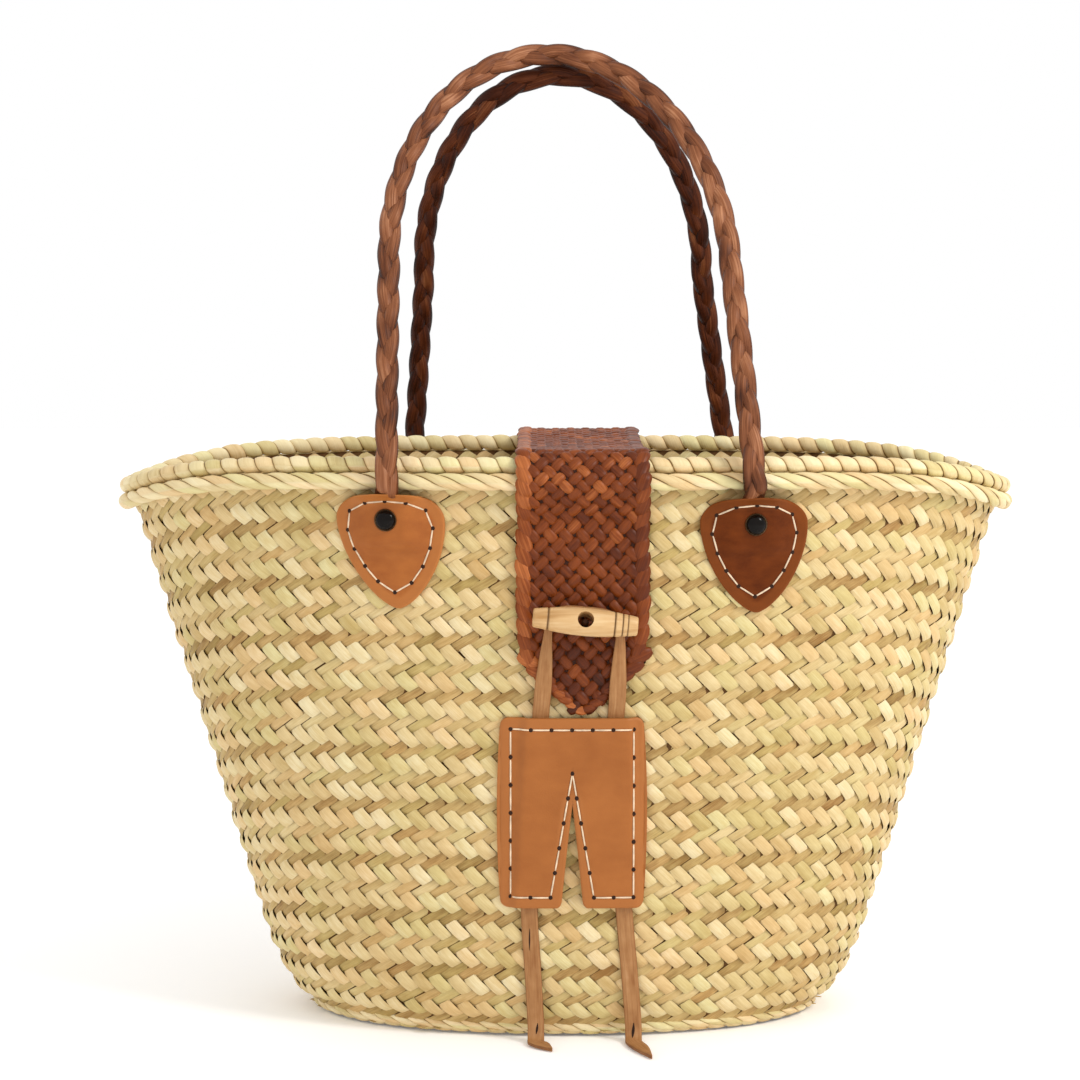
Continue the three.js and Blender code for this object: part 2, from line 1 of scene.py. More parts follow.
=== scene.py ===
"""The looks of a straw basket bag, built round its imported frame: plaited palm leaf, a wound rim, braided
handles, a plaited leather strap, stitched leather, a turned toggle. Sizes here are millimetres."""

import math

import bpy
import numpy as np
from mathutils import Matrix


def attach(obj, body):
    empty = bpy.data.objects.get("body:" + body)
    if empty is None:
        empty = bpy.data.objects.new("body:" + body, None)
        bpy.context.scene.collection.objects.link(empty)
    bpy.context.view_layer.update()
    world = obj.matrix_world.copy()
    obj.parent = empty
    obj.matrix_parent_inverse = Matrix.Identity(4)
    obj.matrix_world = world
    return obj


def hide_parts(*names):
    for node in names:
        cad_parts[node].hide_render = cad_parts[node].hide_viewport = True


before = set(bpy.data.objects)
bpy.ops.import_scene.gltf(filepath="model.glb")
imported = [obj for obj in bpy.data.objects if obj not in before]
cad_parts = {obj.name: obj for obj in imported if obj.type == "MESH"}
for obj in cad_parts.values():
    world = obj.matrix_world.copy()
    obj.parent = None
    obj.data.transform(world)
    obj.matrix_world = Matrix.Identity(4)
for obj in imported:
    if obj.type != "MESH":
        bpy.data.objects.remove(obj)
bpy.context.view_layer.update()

MM = 0.001
GAP = 0.3
RANDOM = np.random.default_rng(7)

# Basket
WALL_THICKNESS = 3
WALL_HEIGHT = 321.5
FOOT_HALF_LENGTH = 162.3
RIM_HALF_LENGTH = 257.7
FOOT_HALF_DEPTH = 91
RIM_HALF_DEPTH = 106
PLAN_POWER = 2.15
TUCK_LENGTH = 20.5
TUCK_DEPTH = 12
TUCK_HEIGHT = 13.9
END_DROP = 19
END_DROP_POWER = 6

# Plait of the basket: a twill of leaf strips, with its pitch along a row and the height of two rows. Leaves
# of front and back lap at the bag's ends, and a dark core of painted shade lies under both faces of the plait
LEAF_PITCH = 10.6
LEAF_RISE = 15.85
LEAF_SHEAR = 0.32
BAND_RISE = 2 * LEAF_RISE
BAND_START = 44
BAND_GROOVE = 1.0
END_LAP = 1.6
LEAF_FLOOR = 2.4
CORE_UNDER_OUTSIDE = 1.8
CORE_UNDER_INSIDE = 0.9
CORE_BOTTOM = 1.6

# Rim
COIL_RADIUS = 4.6
COIL_END_OUT = 5
COIL_SEAT = 1.5 * GAP
ROPE_RADIUS = 4.6
ROPE_BELOW_EDGE = 3.7
WRAP_PITCH = 10.5
TWIST_PITCH = 14
WRAP_SIDES = 22
BASE_EDGE_RISE = 0.018
BASE_EDGE_INWARD = 2.9
BASE_EDGE_RADIUS = 3.5

# Handles and tabs
HANDLE_DIAMETER = 13.2
HANDLE_BOW = 1.35
HANDLE_APEX = 235.5
HANDLE_SPRING = 115.5
HANDLE_ARCH = 95.2
HANDLE_LEAN = 6.5
HANDLE_SPREAD = 100
APEX_APART = 5
BRAID_TURN = 62
BRAID_SWAY = 2.4
BRAID_DEPTH = 2.0
BRAID_STRAND_WIDTH = 8.2
BRAID_STRAND_THICKNESS = 7.8
TONGUE_WIDTH = 16
TONGUE_THICKNESS = 5
TONGUE_BELOW_RIVET = 9
TAB_DROP = 9
TAB_SKEW = 5.8
TAB_WIDTH = 60
TAB_HEIGHT = 66
TAB_SHOULDER = 16.5
TAB_THICKNESS = 2.5
TAB_SEAM = 4
TAB_TOP_POWER = 2.2
TAB_TIP_POWER = 1.5
TAB_TIP_ROUNDNESS = 0.58
TAB_DIP_START = 2.5 * TONGUE_THICKNESS
TAB_DIP_RUN = 2 * TONGUE_THICKNESS
RIVET_BELOW_TOP = 15.5
RIVET_DIAMETER = 12.5
RIVET_RIM = 0.8
RIVET_DOME = 3.2

# Shares of the named sizes, a row for each handle and each foot, as in the frame
HANDLES = [
    dict(name="front", side=-1, apex=1, spring=1, arch=1, centre=-0.039, lean=-0.94, feet=[
        dict(name="left", across=-0.985, drop=1, skew=1, leather="tan"),
        dict(name="right", across=1.03, drop=1.28, skew=0.35, leather="brown"),
    ]),
    dict(name="back", side=1, apex=0.953, spring=0.94, arch=0.885, centre=-0.008, lean=-0.45, feet=[
        dict(name="left", across=-0.94, drop=1.05, skew=0.5, leather="tan"),
        dict(name="right", across=1.02, drop=1.17, skew=-0.5, leather="brown"),
    ]),
]

# Patch
PATCH_LEFT = -38.6
PATCH_RIGHT = 44.8
PATCH_BOTTOM = 78
PATCH_TOP = 186
PATCH_THICKNESS = 3
PATCH_CORNER = 4.5
NOTCH_LEFT = -2.9
NOTCH_RIGHT = 9.5
NOTCH_HEIGHT = 59
NOTCH_FLARE = 2.6
NOTCH_FLARE_WIDTH = 3
PATCH_WAIST = 0.05

# Stitches: thread from hole to hole, over a groove
STITCH_INSET = 6.3
STITCH_GROOVE = 0.45
STITCH_THICKNESS = 1.0

# Closing strap
STRAP_CENTRE = 9
STRAP_WIDTH = 73
STRAP_THICKNESS = 4
STRAP_TIP = PATCH_TOP + 1
STRAP_TAPER = 30
STRAP_SAG = 5
STRAP_BACK_LENGTH = 75
STRAP_LEAVE = 20
STRAP_ON_ROPE = (-32, 40)
STRAP_ON_COIL = (42, 94)
STRAP_TIP_ROUNDNESS = 0.25
STRAP_CORE_INSET = 1.6
STRAND_PITCH = 9.2
STRAND_RISE = 10.1
FOLD_HALF_LENGTH = 7.4
FOLD_HALF_WIDTH = 3.9
FOLD_INSET = 4.0
FOLD_CORNER_INSET = 2.4

# Toggle
TOGGLE_LENGTH = 58
TOGGLE_DIAMETER = 15.6
TOGGLE_CENTRE = 10
TOGGLE_HEIGHT = STRAP_TIP + 55
TOGGLE_TILT = math.radians(-5)
TOGGLE_BORE = 9
TOGGLE_BORE_TILT = math.radians(20)
TOGGLE_SEAT = 0.9
LACE_THICKNESS = 4

# Closing thong
THONG_WIDTH = 9.5
THONG_THICKNESS = 2.5
THONG_NARROW = 4.2
THONG_OVER_AXIS = 5
THONG_BEND = 7
THONG_HANGS = 3.2
THONG_SPREAD = 20
THONG_TAIL = 36
THONG_SQUARENESS = 0.45
FLOOR_CLEARANCE = 0.1
PATCH_LIFT_FLAT = THONG_WIDTH / 2 + 1.55
PATCH_LIFT_FADE = THONG_WIDTH / 2 + 7.65
THONG_LEGS = [
    dict(toggle=-0.925, top=-1.17, bottom=-1.485, land=-1.3, tip=-0.85, reach=0.6),
    dict(toggle=1.04, top=0.92, bottom=1.16, land=1.45, tip=1.9, reach=1.05),
]

COIL_UP = GAP + COIL_RADIUS
COIL_TOP = WALL_HEIGHT + COIL_UP + COIL_RADIUS
ROPE_RISE = 1 - ROPE_BELOW_EDGE / WALL_HEIGHT
ROPE_HEIGHT = ROPE_RISE * WALL_HEIGHT
ROPE_OUT = 2 * GAP + ROPE_RADIUS
ROPE_REACH = ROPE_OUT + ROPE_RADIUS
COIL_END_UP = max(0, math.sqrt((COIL_RADIUS + ROPE_RADIUS + COIL_SEAT) ** 2
                               - (ROPE_OUT + WALL_THICKNESS / 2 - COIL_END_OUT) ** 2)
                  - ROPE_BELOW_EDGE - COIL_UP)


# Small mathematics

def lerp(a, b, share):
    return a + (b - a) * share


def ease(share):
    t = np.clip(share, 0, 1)
    return t * t * (3 - 2 * t)


def lift(distance, flat, fade):
    """1 on a flat top of this half width, easing to 0 at the fade distance."""
    return 1 - ease((np.abs(distance) - flat) / (fade - flat))


def signed_power(value, power):
    return np.sign(value) * np.abs(value) ** power


def unit(vectors):
    vectors = np.asarray(vectors, float)
    return vectors / np.maximum(np.linalg.norm(vectors, axis=-1, keepdims=True), 1e-12)


def linear(*srgb):
    """A colour from 0 to 255 as the linear one that Blender's shaders take."""
    share = np.array(srgb, float) / 255
    return (*np.where(share <= 0.04045, share / 12.92, ((share + 0.055) / 1.055) ** 2.4), 1.0)


def along(points):
    """Length along a line of points, from its first."""
    steps = np.linalg.norm(np.diff(points, axis=0), axis=1)
    return np.concatenate([[0], np.cumsum(steps)])


def resampled(points, count, closed=False):
    """The same line as this many points at even steps."""
    points = np.asarray(points, float)
    if closed:
        points = np.vstack([points, points[:1]])
    lengths = along(points)
    at = np.linspace(0, lengths[-1], count + (1 if closed else 0))
    if closed:
        at = at[:-1]
    return np.stack([np.interp(at, lengths, points[:, k]) for k in range(points.shape[1])], 1)


def catmull_rom(points, per_stretch):
    """A centripetal curve through the points, which may hold further columns than x, y and z."""
    points = np.asarray(points, float)
    ends = np.vstack([2 * points[0] - points[1], points, 2 * points[-1] - points[-2]])
    out = []
    for i in range(1, len(ends) - 2):
        p = ends[i - 1:i + 3]
        knots = np.concatenate([[0], np.cumsum(np.sqrt(np.linalg.norm(np.diff(p[:, :3], axis=0), axis=1)))])
        last = i == len(ends) - 3
        for t in np.linspace(knots[1], knots[2], per_stretch + (1 if last else 0), endpoint=last):
            rows = list(p)
            for level in (1, 2, 3):
                rows = [
                    ((knots[j + level] - t) * rows[j] + (t - knots[j]) * rows[j + 1])
                    / (knots[j + level] - knots[j])
                    for j in range(4 - level)
                ]
            out.append(rows[0])
    return np.array(out)


# Meshes

def grid_faces(rows, columns, loop_columns=False):
    """Quads of a grid of points that is rows by columns, row by row."""
    r = np.arange(rows - 1)
    c = np.arange(columns if loop_columns else columns - 1)
    r, c = (a.ravel() for a in np.meshgrid(r, c, indexing="ij"))
    next_r, next_c = r + 1, (c + 1) % columns
    return np.stack([
        r * columns + c, r * columns + next_c, next_r * columns + next_c, next_r * columns + c], 1)


def grid_border(rows, columns):
    """Indices of the points round the border of a grid."""
    index = np.arange(rows * columns).reshape(rows, columns)
    return np.concatenate([index[0, :-1], index[:-1, -1], index[-1, :0:-1], index[:0:-1, 0]])


def closed_sheet(under, top, rows, columns, attributes=None):
    """The shape of a sheet between two grids of points, closed round their border."""
    total = rows * columns
    quads = grid_faces(rows, columns)
    border = grid_border(rows, columns)
    following = np.roll(border, -1)
    walls = np.stack([border, border + total, following + total, following], 1)
    return np.vstack([under, top]), [np.vstack([quads[:, ::-1], quads + total, walls])], attributes or {}


def unit_circle(first, second, count):
    """Points of a circle of radius 1 from one direction round by another."""
    turn = 2 * np.pi * np.arange(count) / count
    return np.cos(turn)[:, None] * first + np.sin(turn)[:, None] * second


def signed_volume(points, faces):
    total = 0.0
    for group in faces:
        first = points[group[:, 0]]
        for k in range(1, group.shape[1] - 1):
            cross = np.cross(points[group[:, k]], points[group[:, k + 1]])
            total += (first * cross).sum()
    return total


def make_piece(name, shape, material, replaces=(), sharp=None):
    """A closed mesh that rides on the frame. shape holds its points, its faces as arrays of corner indices,
    one for each face size, and its attributes by name."""
    points, faces, attributes = shape
    points = np.asarray(points, float).reshape(-1, 3)
    if signed_volume(points, faces) < 0:
        faces = [group[:, ::-1] for group in faces]
    corners = np.concatenate([group.ravel() for group in faces]).astype(np.int32)
    sizes = np.concatenate([np.full(len(group), group.shape[1]) for group in faces])
    mesh = bpy.data.meshes.new(name)
    mesh.vertices.add(len(points))
    mesh.vertices.foreach_set("co", (points * MM).ravel())
    mesh.loops.add(len(corners))
    mesh.loops.foreach_set("vertex_index", corners)
    mesh.polygons.add(len(sizes))
    mesh.polygons.foreach_set("loop_start", np.concatenate([[0], np.cumsum(sizes)[:-1]]).astype(np.int32))
    mesh.update(calc_edges=True)
    mesh.validate()
    for key, values in attributes.items():
        values = np.asarray(values, float)
        vector = values.ndim == 2
        layer = mesh.attributes.new(key, "FLOAT_VECTOR" if vector else "FLOAT", "POINT")
        layer.data.foreach_set("vector" if vector else "value", values.ravel())
    mesh.shade_smooth()
    if sharp is not None:
        mesh.set_sharp_from_angle(angle=math.radians(sharp))
    mesh.materials.append(material)
    piece = bpy.data.objects.new(name, mesh)
    bpy.context.collection.objects.link(piece)
    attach(piece, "root")
    if replaces:
        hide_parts(*replaces)
    return piece


def tube(rings, attributes=None):
    """The shape of a closed and capped tube through rings of points."""
    rings = np.asarray(rings, float)
    count, sides = rings.shape[:2]
    caps = np.stack([np.arange(sides)[::-1], (count - 1) * sides + np.arange(sides)])
    return rings.reshape(-1, 3), [grid_faces(count, sides, loop_columns=True), caps], attributes or {}


def joined(parts):
    """Several shapes as one."""
    points, groups, attributes, offset = [], {}, {}, 0
    for part_points, part_faces, part_attributes in parts:
        points.append(part_points)
        for group in part_faces:
            groups.setdefault(group.shape[1], []).append(group + offset)
        for key, values in part_attributes.items():
            attributes.setdefault(key, []).append(values)
        offset += len(part_points)
    return (
        np.concatenate(points),
        [np.concatenate(group) for group in groups.values()],
        {key: np.concatenate(values) for key, values in attributes.items()},
    )


def swept(centres, out, widths, thicknesses, sides, squareness):
    """Rings along centres; out is the side that each faces, and a squareness of 1 makes them round."""
    centres = np.asarray(centres, float)
    tangent = unit(np.gradient(centres, axis=0))
    out = np.broadcast_to(out, centres.shape)
    out = unit(out - (out * tangent).sum(1, keepdims=True) * tangent)
    across = np.cross(tangent, out)
    turn = 2 * np.pi * (np.arange(sides) + 0.5) / sides
    cos = signed_power(np.cos(turn), squareness)[None, :, None]
    sin = signed_power(np.sin(turn), squareness)[None, :, None]
    half_width = np.broadcast_to(widths, len(centres))[:, None, None] / 2
    half_thick = np.broadcast_to(thicknesses, len(centres))[:, None, None] / 2
    return centres[:, None] + across[:, None] * cos * half_width + out[:, None] * sin * half_thick


# Form of the basket

def half_sizes(height):
    rise = height / WALL_HEIGHT
    tuck = np.exp(-height / TUCK_HEIGHT)
    return (
        lerp(FOOT_HALF_LENGTH, RIM_HALF_LENGTH, rise) - TUCK_LENGTH * tuck,
        lerp(FOOT_HALF_DEPTH, RIM_HALF_DEPTH, rise) - TUCK_DEPTH * tuck,
    )


def wall_point(angle, rise, outward=0.0, up=0.0, level=False):
    """Points of the wall, moved outwards along its normal, or along its plan's normal if level, and up."""
    cos, sin = np.cos(angle), np.sin(angle)
    drop = END_DROP * (1 - (1 - rise) ** 3) * np.abs(cos) ** END_DROP_POWER
    height = rise * WALL_HEIGHT - drop
    length, depth = half_sizes(height)
    x, y = signed_power(cos, 2 / PLAN_POWER), signed_power(sin, 2 / PLAN_POWER)
    tuck = np.exp(-height / TUCK_HEIGHT) / TUCK_HEIGHT
    length_slope = (RIM_HALF_LENGTH - FOOT_HALF_LENGTH) / WALL_HEIGHT + TUCK_LENGTH * tuck
    depth_slope = (RIM_HALF_DEPTH - FOOT_HALF_DEPTH) / WALL_HEIGHT + TUCK_DEPTH * tuck
    down = np.abs(x) ** PLAN_POWER * length_slope / length + np.abs(y) ** PLAN_POWER * depth_slope / depth
    normal = unit(np.stack([
        signed_power(x, PLAN_POWER - 1) / length,
        signed_power(y, PLAN_POWER - 1) / depth,
        0 * down if level else -down,
    ], -1))
    place = np.stack([x * length, y * depth, height + up], -1)
    return place + normal * np.asarray(outward)[..., None]


def wall_depth(x, height):
    length, depth = half_sizes(height)
    return depth * (1 - np.abs(x / length) ** PLAN_POWER) ** (1 / PLAN_POWER)


def wall_normal(side, x, height):
    step = 0.5
    slope_x = (wall_depth(x + step, height) - wall_depth(x - step, height)) / (2 * step)
    slope_z = (wall_depth(x, height + step) - wall_depth(x, height - step)) / (2 * step)
    return unit(np.stack(np.broadcast_arrays(-slope_x, side, -slope_z), -1).astype(float))


def on_wall(side, x, height, outward):
    x, height, outward = np.broadcast_arrays(np.asarray(x, float), height, outward)
    base = np.stack([x, side * wall_depth(x, height), height], -1)
    return base + wall_normal(side, x, height) * outward[..., None]


def from_middle(lengths):
    """Lengths along a line, counted from its middle point."""
    return lengths - lengths[len(lengths) // 2]


RISES = np.concatenate([np.linspace(0, 0.12, 25), np.linspace(0.12, 1, 31)[1:]])
HALF_TURN = np.radians(np.linspace(-100, 100, 401))
MERIDIAN = along(wall_point(np.full(len(RISES), -np.pi / 2), RISES))
GIRTH = np.stack([from_middle(along(wall_point(HALF_TURN - np.pi / 2, rise))) for rise in RISES])


def half_girth(v):
    """Length round the plan from the middle of the front to the bag's end, at a distance up the wall."""
    ends = [np.interp(np.pi / 2, HALF_TURN, lengths) for lengths in GIRTH]
    return np.interp(v, MERIDIAN, ends)


def wall_surface(side, u, v, outward):
    """Wall points by the distance round from the middle of a side, the distance up, and outwards."""
    shape = u.shape
    u, v, outward = u.ravel(), v.ravel(), np.broadcast_to(outward, shape).ravel()
    rise = np.interp(v, MERIDIAN, RISES)
    level = np.clip(np.searchsorted(RISES, rise) - 1, 0, len(RISES) - 2)
    turn = np.empty(len(u))
    for i in np.unique(level):
        here = level == i
        share = (rise[here] - RISES[i]) / (RISES[i + 1] - RISES[i])
        turn[here] = lerp(
            np.interp(u[here], GIRTH[i], HALF_TURN), np.interp(u[here], GIRTH[i + 1], HALF_TURN), share)
    return wall_point(turn + side * np.pi / 2, rise, outward).reshape(*shape, 3)


# Materials

WHITE = (255, 255, 255)
LEATHER_ROUGHNESS = 0.5
PORE_SCALE = 900.0
FLECK = 0.15


def new_material(name, roughness, metallic=0.0, shine=0.3):
    material = bpy.data.materials.new(name)
    material.use_nodes = True
    nodes = material.node_tree.nodes
    shader = nodes["Principled BSDF"]
    shader.inputs["Roughness"].default_value = roughness
    shader.inputs["Metallic"].default_value = metallic
    shader.inputs["Specular IOR Level"].default_value = shine
    return material, nodes, material.node_tree.links, shader


def ramp(nodes, stops):
    node = nodes.new("ShaderNodeValToRGB")
    elements = node.color_ramp.elements
    while len(elements) < len(stops):
        elements.new(0.5)
    for element, (place, colour) in zip(elements, stops):
        element.position = place
        element.color = linear(*colour)
    return node


def mapped_noise(nodes, links, vector, scale, detail=3.0, stretch=(1, 1, 1)):
    """Noise over a coordinate in the part's own units, drawn out by stretch."""
    mapping = nodes.new("ShaderNodeMapping")
    mapping.inputs["Scale"].default_value = stretch
    links.new(vector, mapping.inputs["Vector"])
    noise = nodes.new("ShaderNodeTexNoise")
    noise.inputs["Scale"].default_value = scale
    noise.inputs["Detail"].default_value = detail
    links.new(mapping.outputs["Vector"], noise.inputs["Vector"])
    return noise.outputs["Fac"]


def attribute(nodes, name):
    node = nodes.new("ShaderNodeAttribute")
    node.attribute_name = name
    return node


def mixed(nodes, links, kind, a, b, factor):
    """Two colours mixed; each input is a socket or a colour, and the factor a socket or a number."""
    node = nodes.new("ShaderNodeMix")
    node.data_type = "RGBA"
    node.blend_type = kind
    for socket, value in ((node.inputs[6], a), (node.inputs[7], b), (node.inputs[0], factor)):
        if isinstance(value, bpy.types.NodeSocket):
            links.new(value, socket)
        else:
            socket.default_value = value
    return node.outputs[2]


def add(nodes, links, *terms):
    """Sum of (socket, weight) pairs."""
    total = None
    for socket, weight in terms:
        node = nodes.new("ShaderNodeMath")
        node.operation = "MULTIPLY_ADD"
        links.new(socket, node.inputs[0])
        node.inputs[1].default_value = weight
        if total is None:
            node.inputs[2].default_value = 0
        else:
            links.new(total, node.inputs[2])
        total = node.outputs[0]
    return total


def bump(nodes, links, shader, height, strength, distance):
    node = nodes.new("ShaderNodeBump")
    node.inputs["Strength"].default_value = strength
    node.inputs["Distance"].default_value = distance * MM
    links.new(height, node.inputs["Height"])
    links.new(node.outputs["Normal"], shader.inputs["Normal"])


def leaf_material(name, stops, casts=(WHITE, WHITE), streak=0.35, roughness=0.52, relief=0.35, shine=0.3):
    """Dried palm leaf or a leather strip: a tone for each strip, and fibres along it.
    The attribute tone runs from 0 to 1; grain holds millimetres along and across the strip, and a share that
    sets how far its colour leans to one or the other of the casts."""
    material, nodes, links, shader = new_material(name, roughness, shine=shine)
    grain = attribute(nodes, "grain").outputs["Vector"]
    fibres = mapped_noise(nodes, links, grain, 1.0, 2.0, (0.06, 1.9, 1))
    blotch = mapped_noise(nodes, links, grain, 1.0, 3.0, (0.11, 0.3, 1))
    tone = attribute(nodes, "tone").outputs["Fac"]
    mix = add(nodes, links, (tone, 1.0), (fibres, streak), (blotch, 0.45))
    shift = nodes.new("ShaderNodeMath")
    shift.operation = "SUBTRACT"
    links.new(mix, shift.inputs[0])
    shift.inputs[1].default_value = streak * 0.5 + 0.225
    colours = ramp(nodes, stops)
    links.new(shift.outputs[0], colours.inputs["Fac"])
    split = nodes.new("ShaderNodeSeparateXYZ")
    links.new(grain, split.inputs[0])
    cast = ramp(nodes, [(0.05, casts[0]), (0.4, WHITE), (0.6, WHITE), (0.95, casts[1])])
    links.new(split.outputs["Z"], cast.inputs["Fac"])
    colour = mixed(nodes, links, "MULTIPLY", colours.outputs["Color"], cast.outputs["Color"], 1.0)
    links.new(colour, shader.inputs["Base Color"])
    bump(nodes, links, shader, fibres, relief, 0.5)
    return material


def leather_material(name, base, dark, edge, mottle=0.5, shine=0.3):
    """Smooth leather: slow mottling, a pore pattern, and a paler or darker border from the attribute rim."""
    material, nodes, links, shader = new_material(name, LEATHER_ROUGHNESS, shine=shine)
    place = nodes.new("ShaderNodeTexCoord").outputs["Object"]
    slow = mapped_noise(nodes, links, place, 45.0, 4.0)
    strokes = mapped_noise(nodes, links, place, 160.0, 4.0, (0.6, 1, 1.2))
    colours = ramp(nodes, [(0.3, dark), (0.62, base)])
    links.new(add(nodes, links, (slow, mottle), (strokes, 1 - mottle)), colours.inputs["Fac"])
    rim = attribute(nodes, "rim").outputs["Fac"]
    colour = mixed(nodes, links, "MIX", colours.outputs["Color"], linear(*edge), rim)
    links.new(colour, shader.inputs["Base Color"])
    pores = nodes.new("ShaderNodeTexVoronoi")
    pores.inputs["Scale"].default_value = PORE_SCALE
    links.new(place, pores.inputs["Vector"])
    relief = add(nodes, links, (pores.outputs["Distance"], 0.6), (strokes, 0.5))
    bump(nodes, links, shader, relief, 0.22, 0.35)
    return material


def wood_material():
    material, nodes, links, shader = new_material("turned_wood", 0.42)
    place = nodes.new("ShaderNodeTexCoord").outputs["Object"]
    fibre = mapped_noise(nodes, links, place, 420.0, 4.0, (0.07, 1, 1))
    wave = mapped_noise(nodes, links, place, 90.0, 2.0, (0.2, 1, 1))
    colours = ramp(nodes, [(0.3, (176, 130, 76)), (0.5, (208, 168, 116)), (0.72, (226, 194, 146))])
    links.new(add(nodes, links, (fibre, 0.55), (wave, 0.45)), colours.inputs["Fac"])
    # Painted shade in the turned grooves: the attribute groove darkens the wood towards a dark brown
    groove = attribute(nodes, "groove").outputs["Fac"]
    colour = mixed(nodes, links, "MIX", colours.outputs["Color"], linear(96, 64, 30), groove)
    links.new(colour, shader.inputs["Base Color"])
    bump(nodes, links, shader, fibre, 0.15, 0.3)
    return material


def plain_material(name, colour, roughness, metallic=0.0, shine=0.3):
    """One colour with slight unevenness."""
    material, nodes, links, shader = new_material(name, roughness, metallic, shine)
    place = nodes.new("ShaderNodeTexCoord").outputs["Object"]
    noise = mapped_noise(nodes, links, place, 300.0, 3.0)
    darker = tuple(c * (1 - FLECK) for c in colour)
    colours = ramp(nodes, [(0.35, darker), (0.65, colour)])
    links.new(noise, colours.inputs["Fac"])
    links.new(colours.outputs["Color"], shader.inputs["Base Color"])
    bump(nodes, links, shader, noise, 0.1, 0.2)
    return material


STRAW_STOPS = [(0.0, (142, 106, 52)), (0.3, (190, 160, 102)), (0.62, (216, 192, 140)), (1.0, (240, 228, 190))]
RIM_STOPS = [
    (0.0, (112, 82, 42)), (0.16, (190, 160, 106)), (0.4, (220, 197, 148)), (0.7, (236, 218, 173)),
    (1.0, (250, 240, 206)),
]
STRAP_STOPS = [(0.0, (46, 14, 0)), (0.35, (88, 34, 2)), (0.68, (128, 60, 16)), (1.0, (184, 106, 54))]
BRAID_STOPS = [(0.0, (46, 18, 4)), (0.3, (96, 50, 24)), (0.65, (136, 82, 50)), (1.0, (182, 126, 90))]
BRAID_BACK_STOPS = [(0.0, (24, 6, 0)), (0.35, (62, 24, 6)), (0.68, (92, 44, 18)), (1.0, (134, 80, 46))]
THONG_STOPS = [(0.0, (86, 48, 24)), (0.3, (140, 90, 46)), (0.6, (168, 120, 74)), (1.0, (196, 154, 112))]
STRAW_CASTS = ((243, 247, 230), (255, 244, 236))

STRAW = leaf_material("palm_leaf", STRAW_STOPS, STRAW_CASTS)
STRAW_RIM = leaf_material("palm_leaf_rim", RIM_STOPS, STRAW_CASTS, streak=0.3)
# Painted shade: the dark colour of the sheet under the plait, seen between its leaves
STRAW_SHADE = plain_material("palm_leaf_shade_core", (104, 70, 34), 0.85)
STRAP_LEATHER = leaf_material("strap_leather", STRAP_STOPS, streak=0.5, roughness=0.42, shine=0.22)
# Painted shade: the dark colour of the sheet inside the strap, seen between its strips
STRAP_SHADE = plain_material("strap_shade_core", (58, 26, 12), 0.8)
BRAID = leaf_material("braid_leather", BRAID_STOPS, streak=0.9, roughness=0.45, relief=0.8, shine=0.2)
BRAID_BACK = leaf_material("braid_leather_back", BRAID_BACK_STOPS, streak=0.9, relief=0.8, shine=0.12)
TAB_LEATHER = {
    "tan": leather_material("tab_leather_tan", (166, 94, 32), (146, 76, 18), (178, 110, 50)),
    "brown": leather_material("tab_leather_brown", (106, 48, 8), (78, 30, 0), (126, 66, 24), shine=0.1),
}
PATCH_LEATHER = leather_material("patch_leather", (164, 96, 38), (150, 84, 28), (168, 102, 46), mottle=0.7)
THONG_LEATHER = leaf_material("thong_leather", THONG_STOPS, streak=0.6, roughness=0.6)
RIVET_METAL = plain_material("rivet_bronze", (16, 11, 8), 0.14, shine=0.12)
RIVET_EDGE = plain_material("rivet_edge", (112, 88, 62), 0.3, metallic=0.8)
THREAD = plain_material("stitch_thread", (238, 212, 180), 0.7)
# Painted shade: the dark colour of the stitch holes and of the creases in the thong
PAINTED_SHADE_DARK = plain_material("painted_shade_dark", (48, 26, 14), 0.9)
LACE_LEATHER = plain_material("lace_leather", (70, 40, 24), 0.8)
TOGGLE_WOOD = wood_material()


# Plait: strips that pass over and under each other, each visible stretch a crowned closed leaf

def leaf_grid(along_count, across_count):
    """A leaf's own grid of shares, its faces, and the loop round its border, which closes its underside."""
    p = np.linspace(-1, 1, along_count)
    q = np.sin(np.linspace(-np.pi / 2, np.pi / 2, across_count))
    grid_p, grid_q = (a.ravel() for a in np.meshgrid(p, q, indexing="ij"))
    return grid_p, grid_q, grid_faces(along_count, across_count), grid_border(along_count, across_count)


def leaves(centres, long_half, short_half, surface, low, high, crown, tones, grid, tuck, trim, taper=0.0):
    """Closed leaves at centres (count by 2) on a surface(u, v, outward). long_half and short_half are the
    half vectors along and across a leaf, drawn out by tuck and trim; its middle stands at high and its ends
    dip to low. Taper is how far its ends narrow."""
    p, q, quads, border = leaf_grid(*grid)
    count = len(centres)
    jitter = RANDOM.normal(0, 1, (count, 3))
    size = 1 + 0.035 * jitter[:, :1]
    long_half = np.broadcast_to(long_half, (count, 2)) * tuck * size
    short_half = np.broadcast_to(short_half, (count, 2)) * trim * (1 + 0.03 * jitter[:, 1:2])
    narrow = q * (1 - taper * np.abs(p) ** 3)
    flat = (centres[:, None] + long_half[:, None] * p[None, :, None]
            + short_half[:, None] * narrow[None, :, None])
    arch = (1 - np.abs(p) ** 3)[None]
    rise = lerp(low, high, arch) + crown * (1 - np.abs(q) ** 4)[None] + 0.12 * jitter[:, 2:3]
    points = surface(flat[..., 0], flat[..., 1], rise)
    start = (np.arange(count) * len(p))[:, None, None]
    length, width = np.linalg.norm(long_half[0]), np.linalg.norm(short_half[0])
    offset = RANDOM.uniform(0, 400, (count, 1))
    cast = RANDOM.uniform(0, 1, (count, 1))
    grain = np.stack([p[None] * length + offset, q[None] * width + offset, cast + 0 * p[None]], -1)
    return (
        points.reshape(-1, 3),
        [(start + quads[None]).reshape(-1, 4), (start[:, :, 0] + border[None, ::-1])],
        {"tone": np.repeat(tones, len(p)), "grain": grain.reshape(-1, 3)},
    )


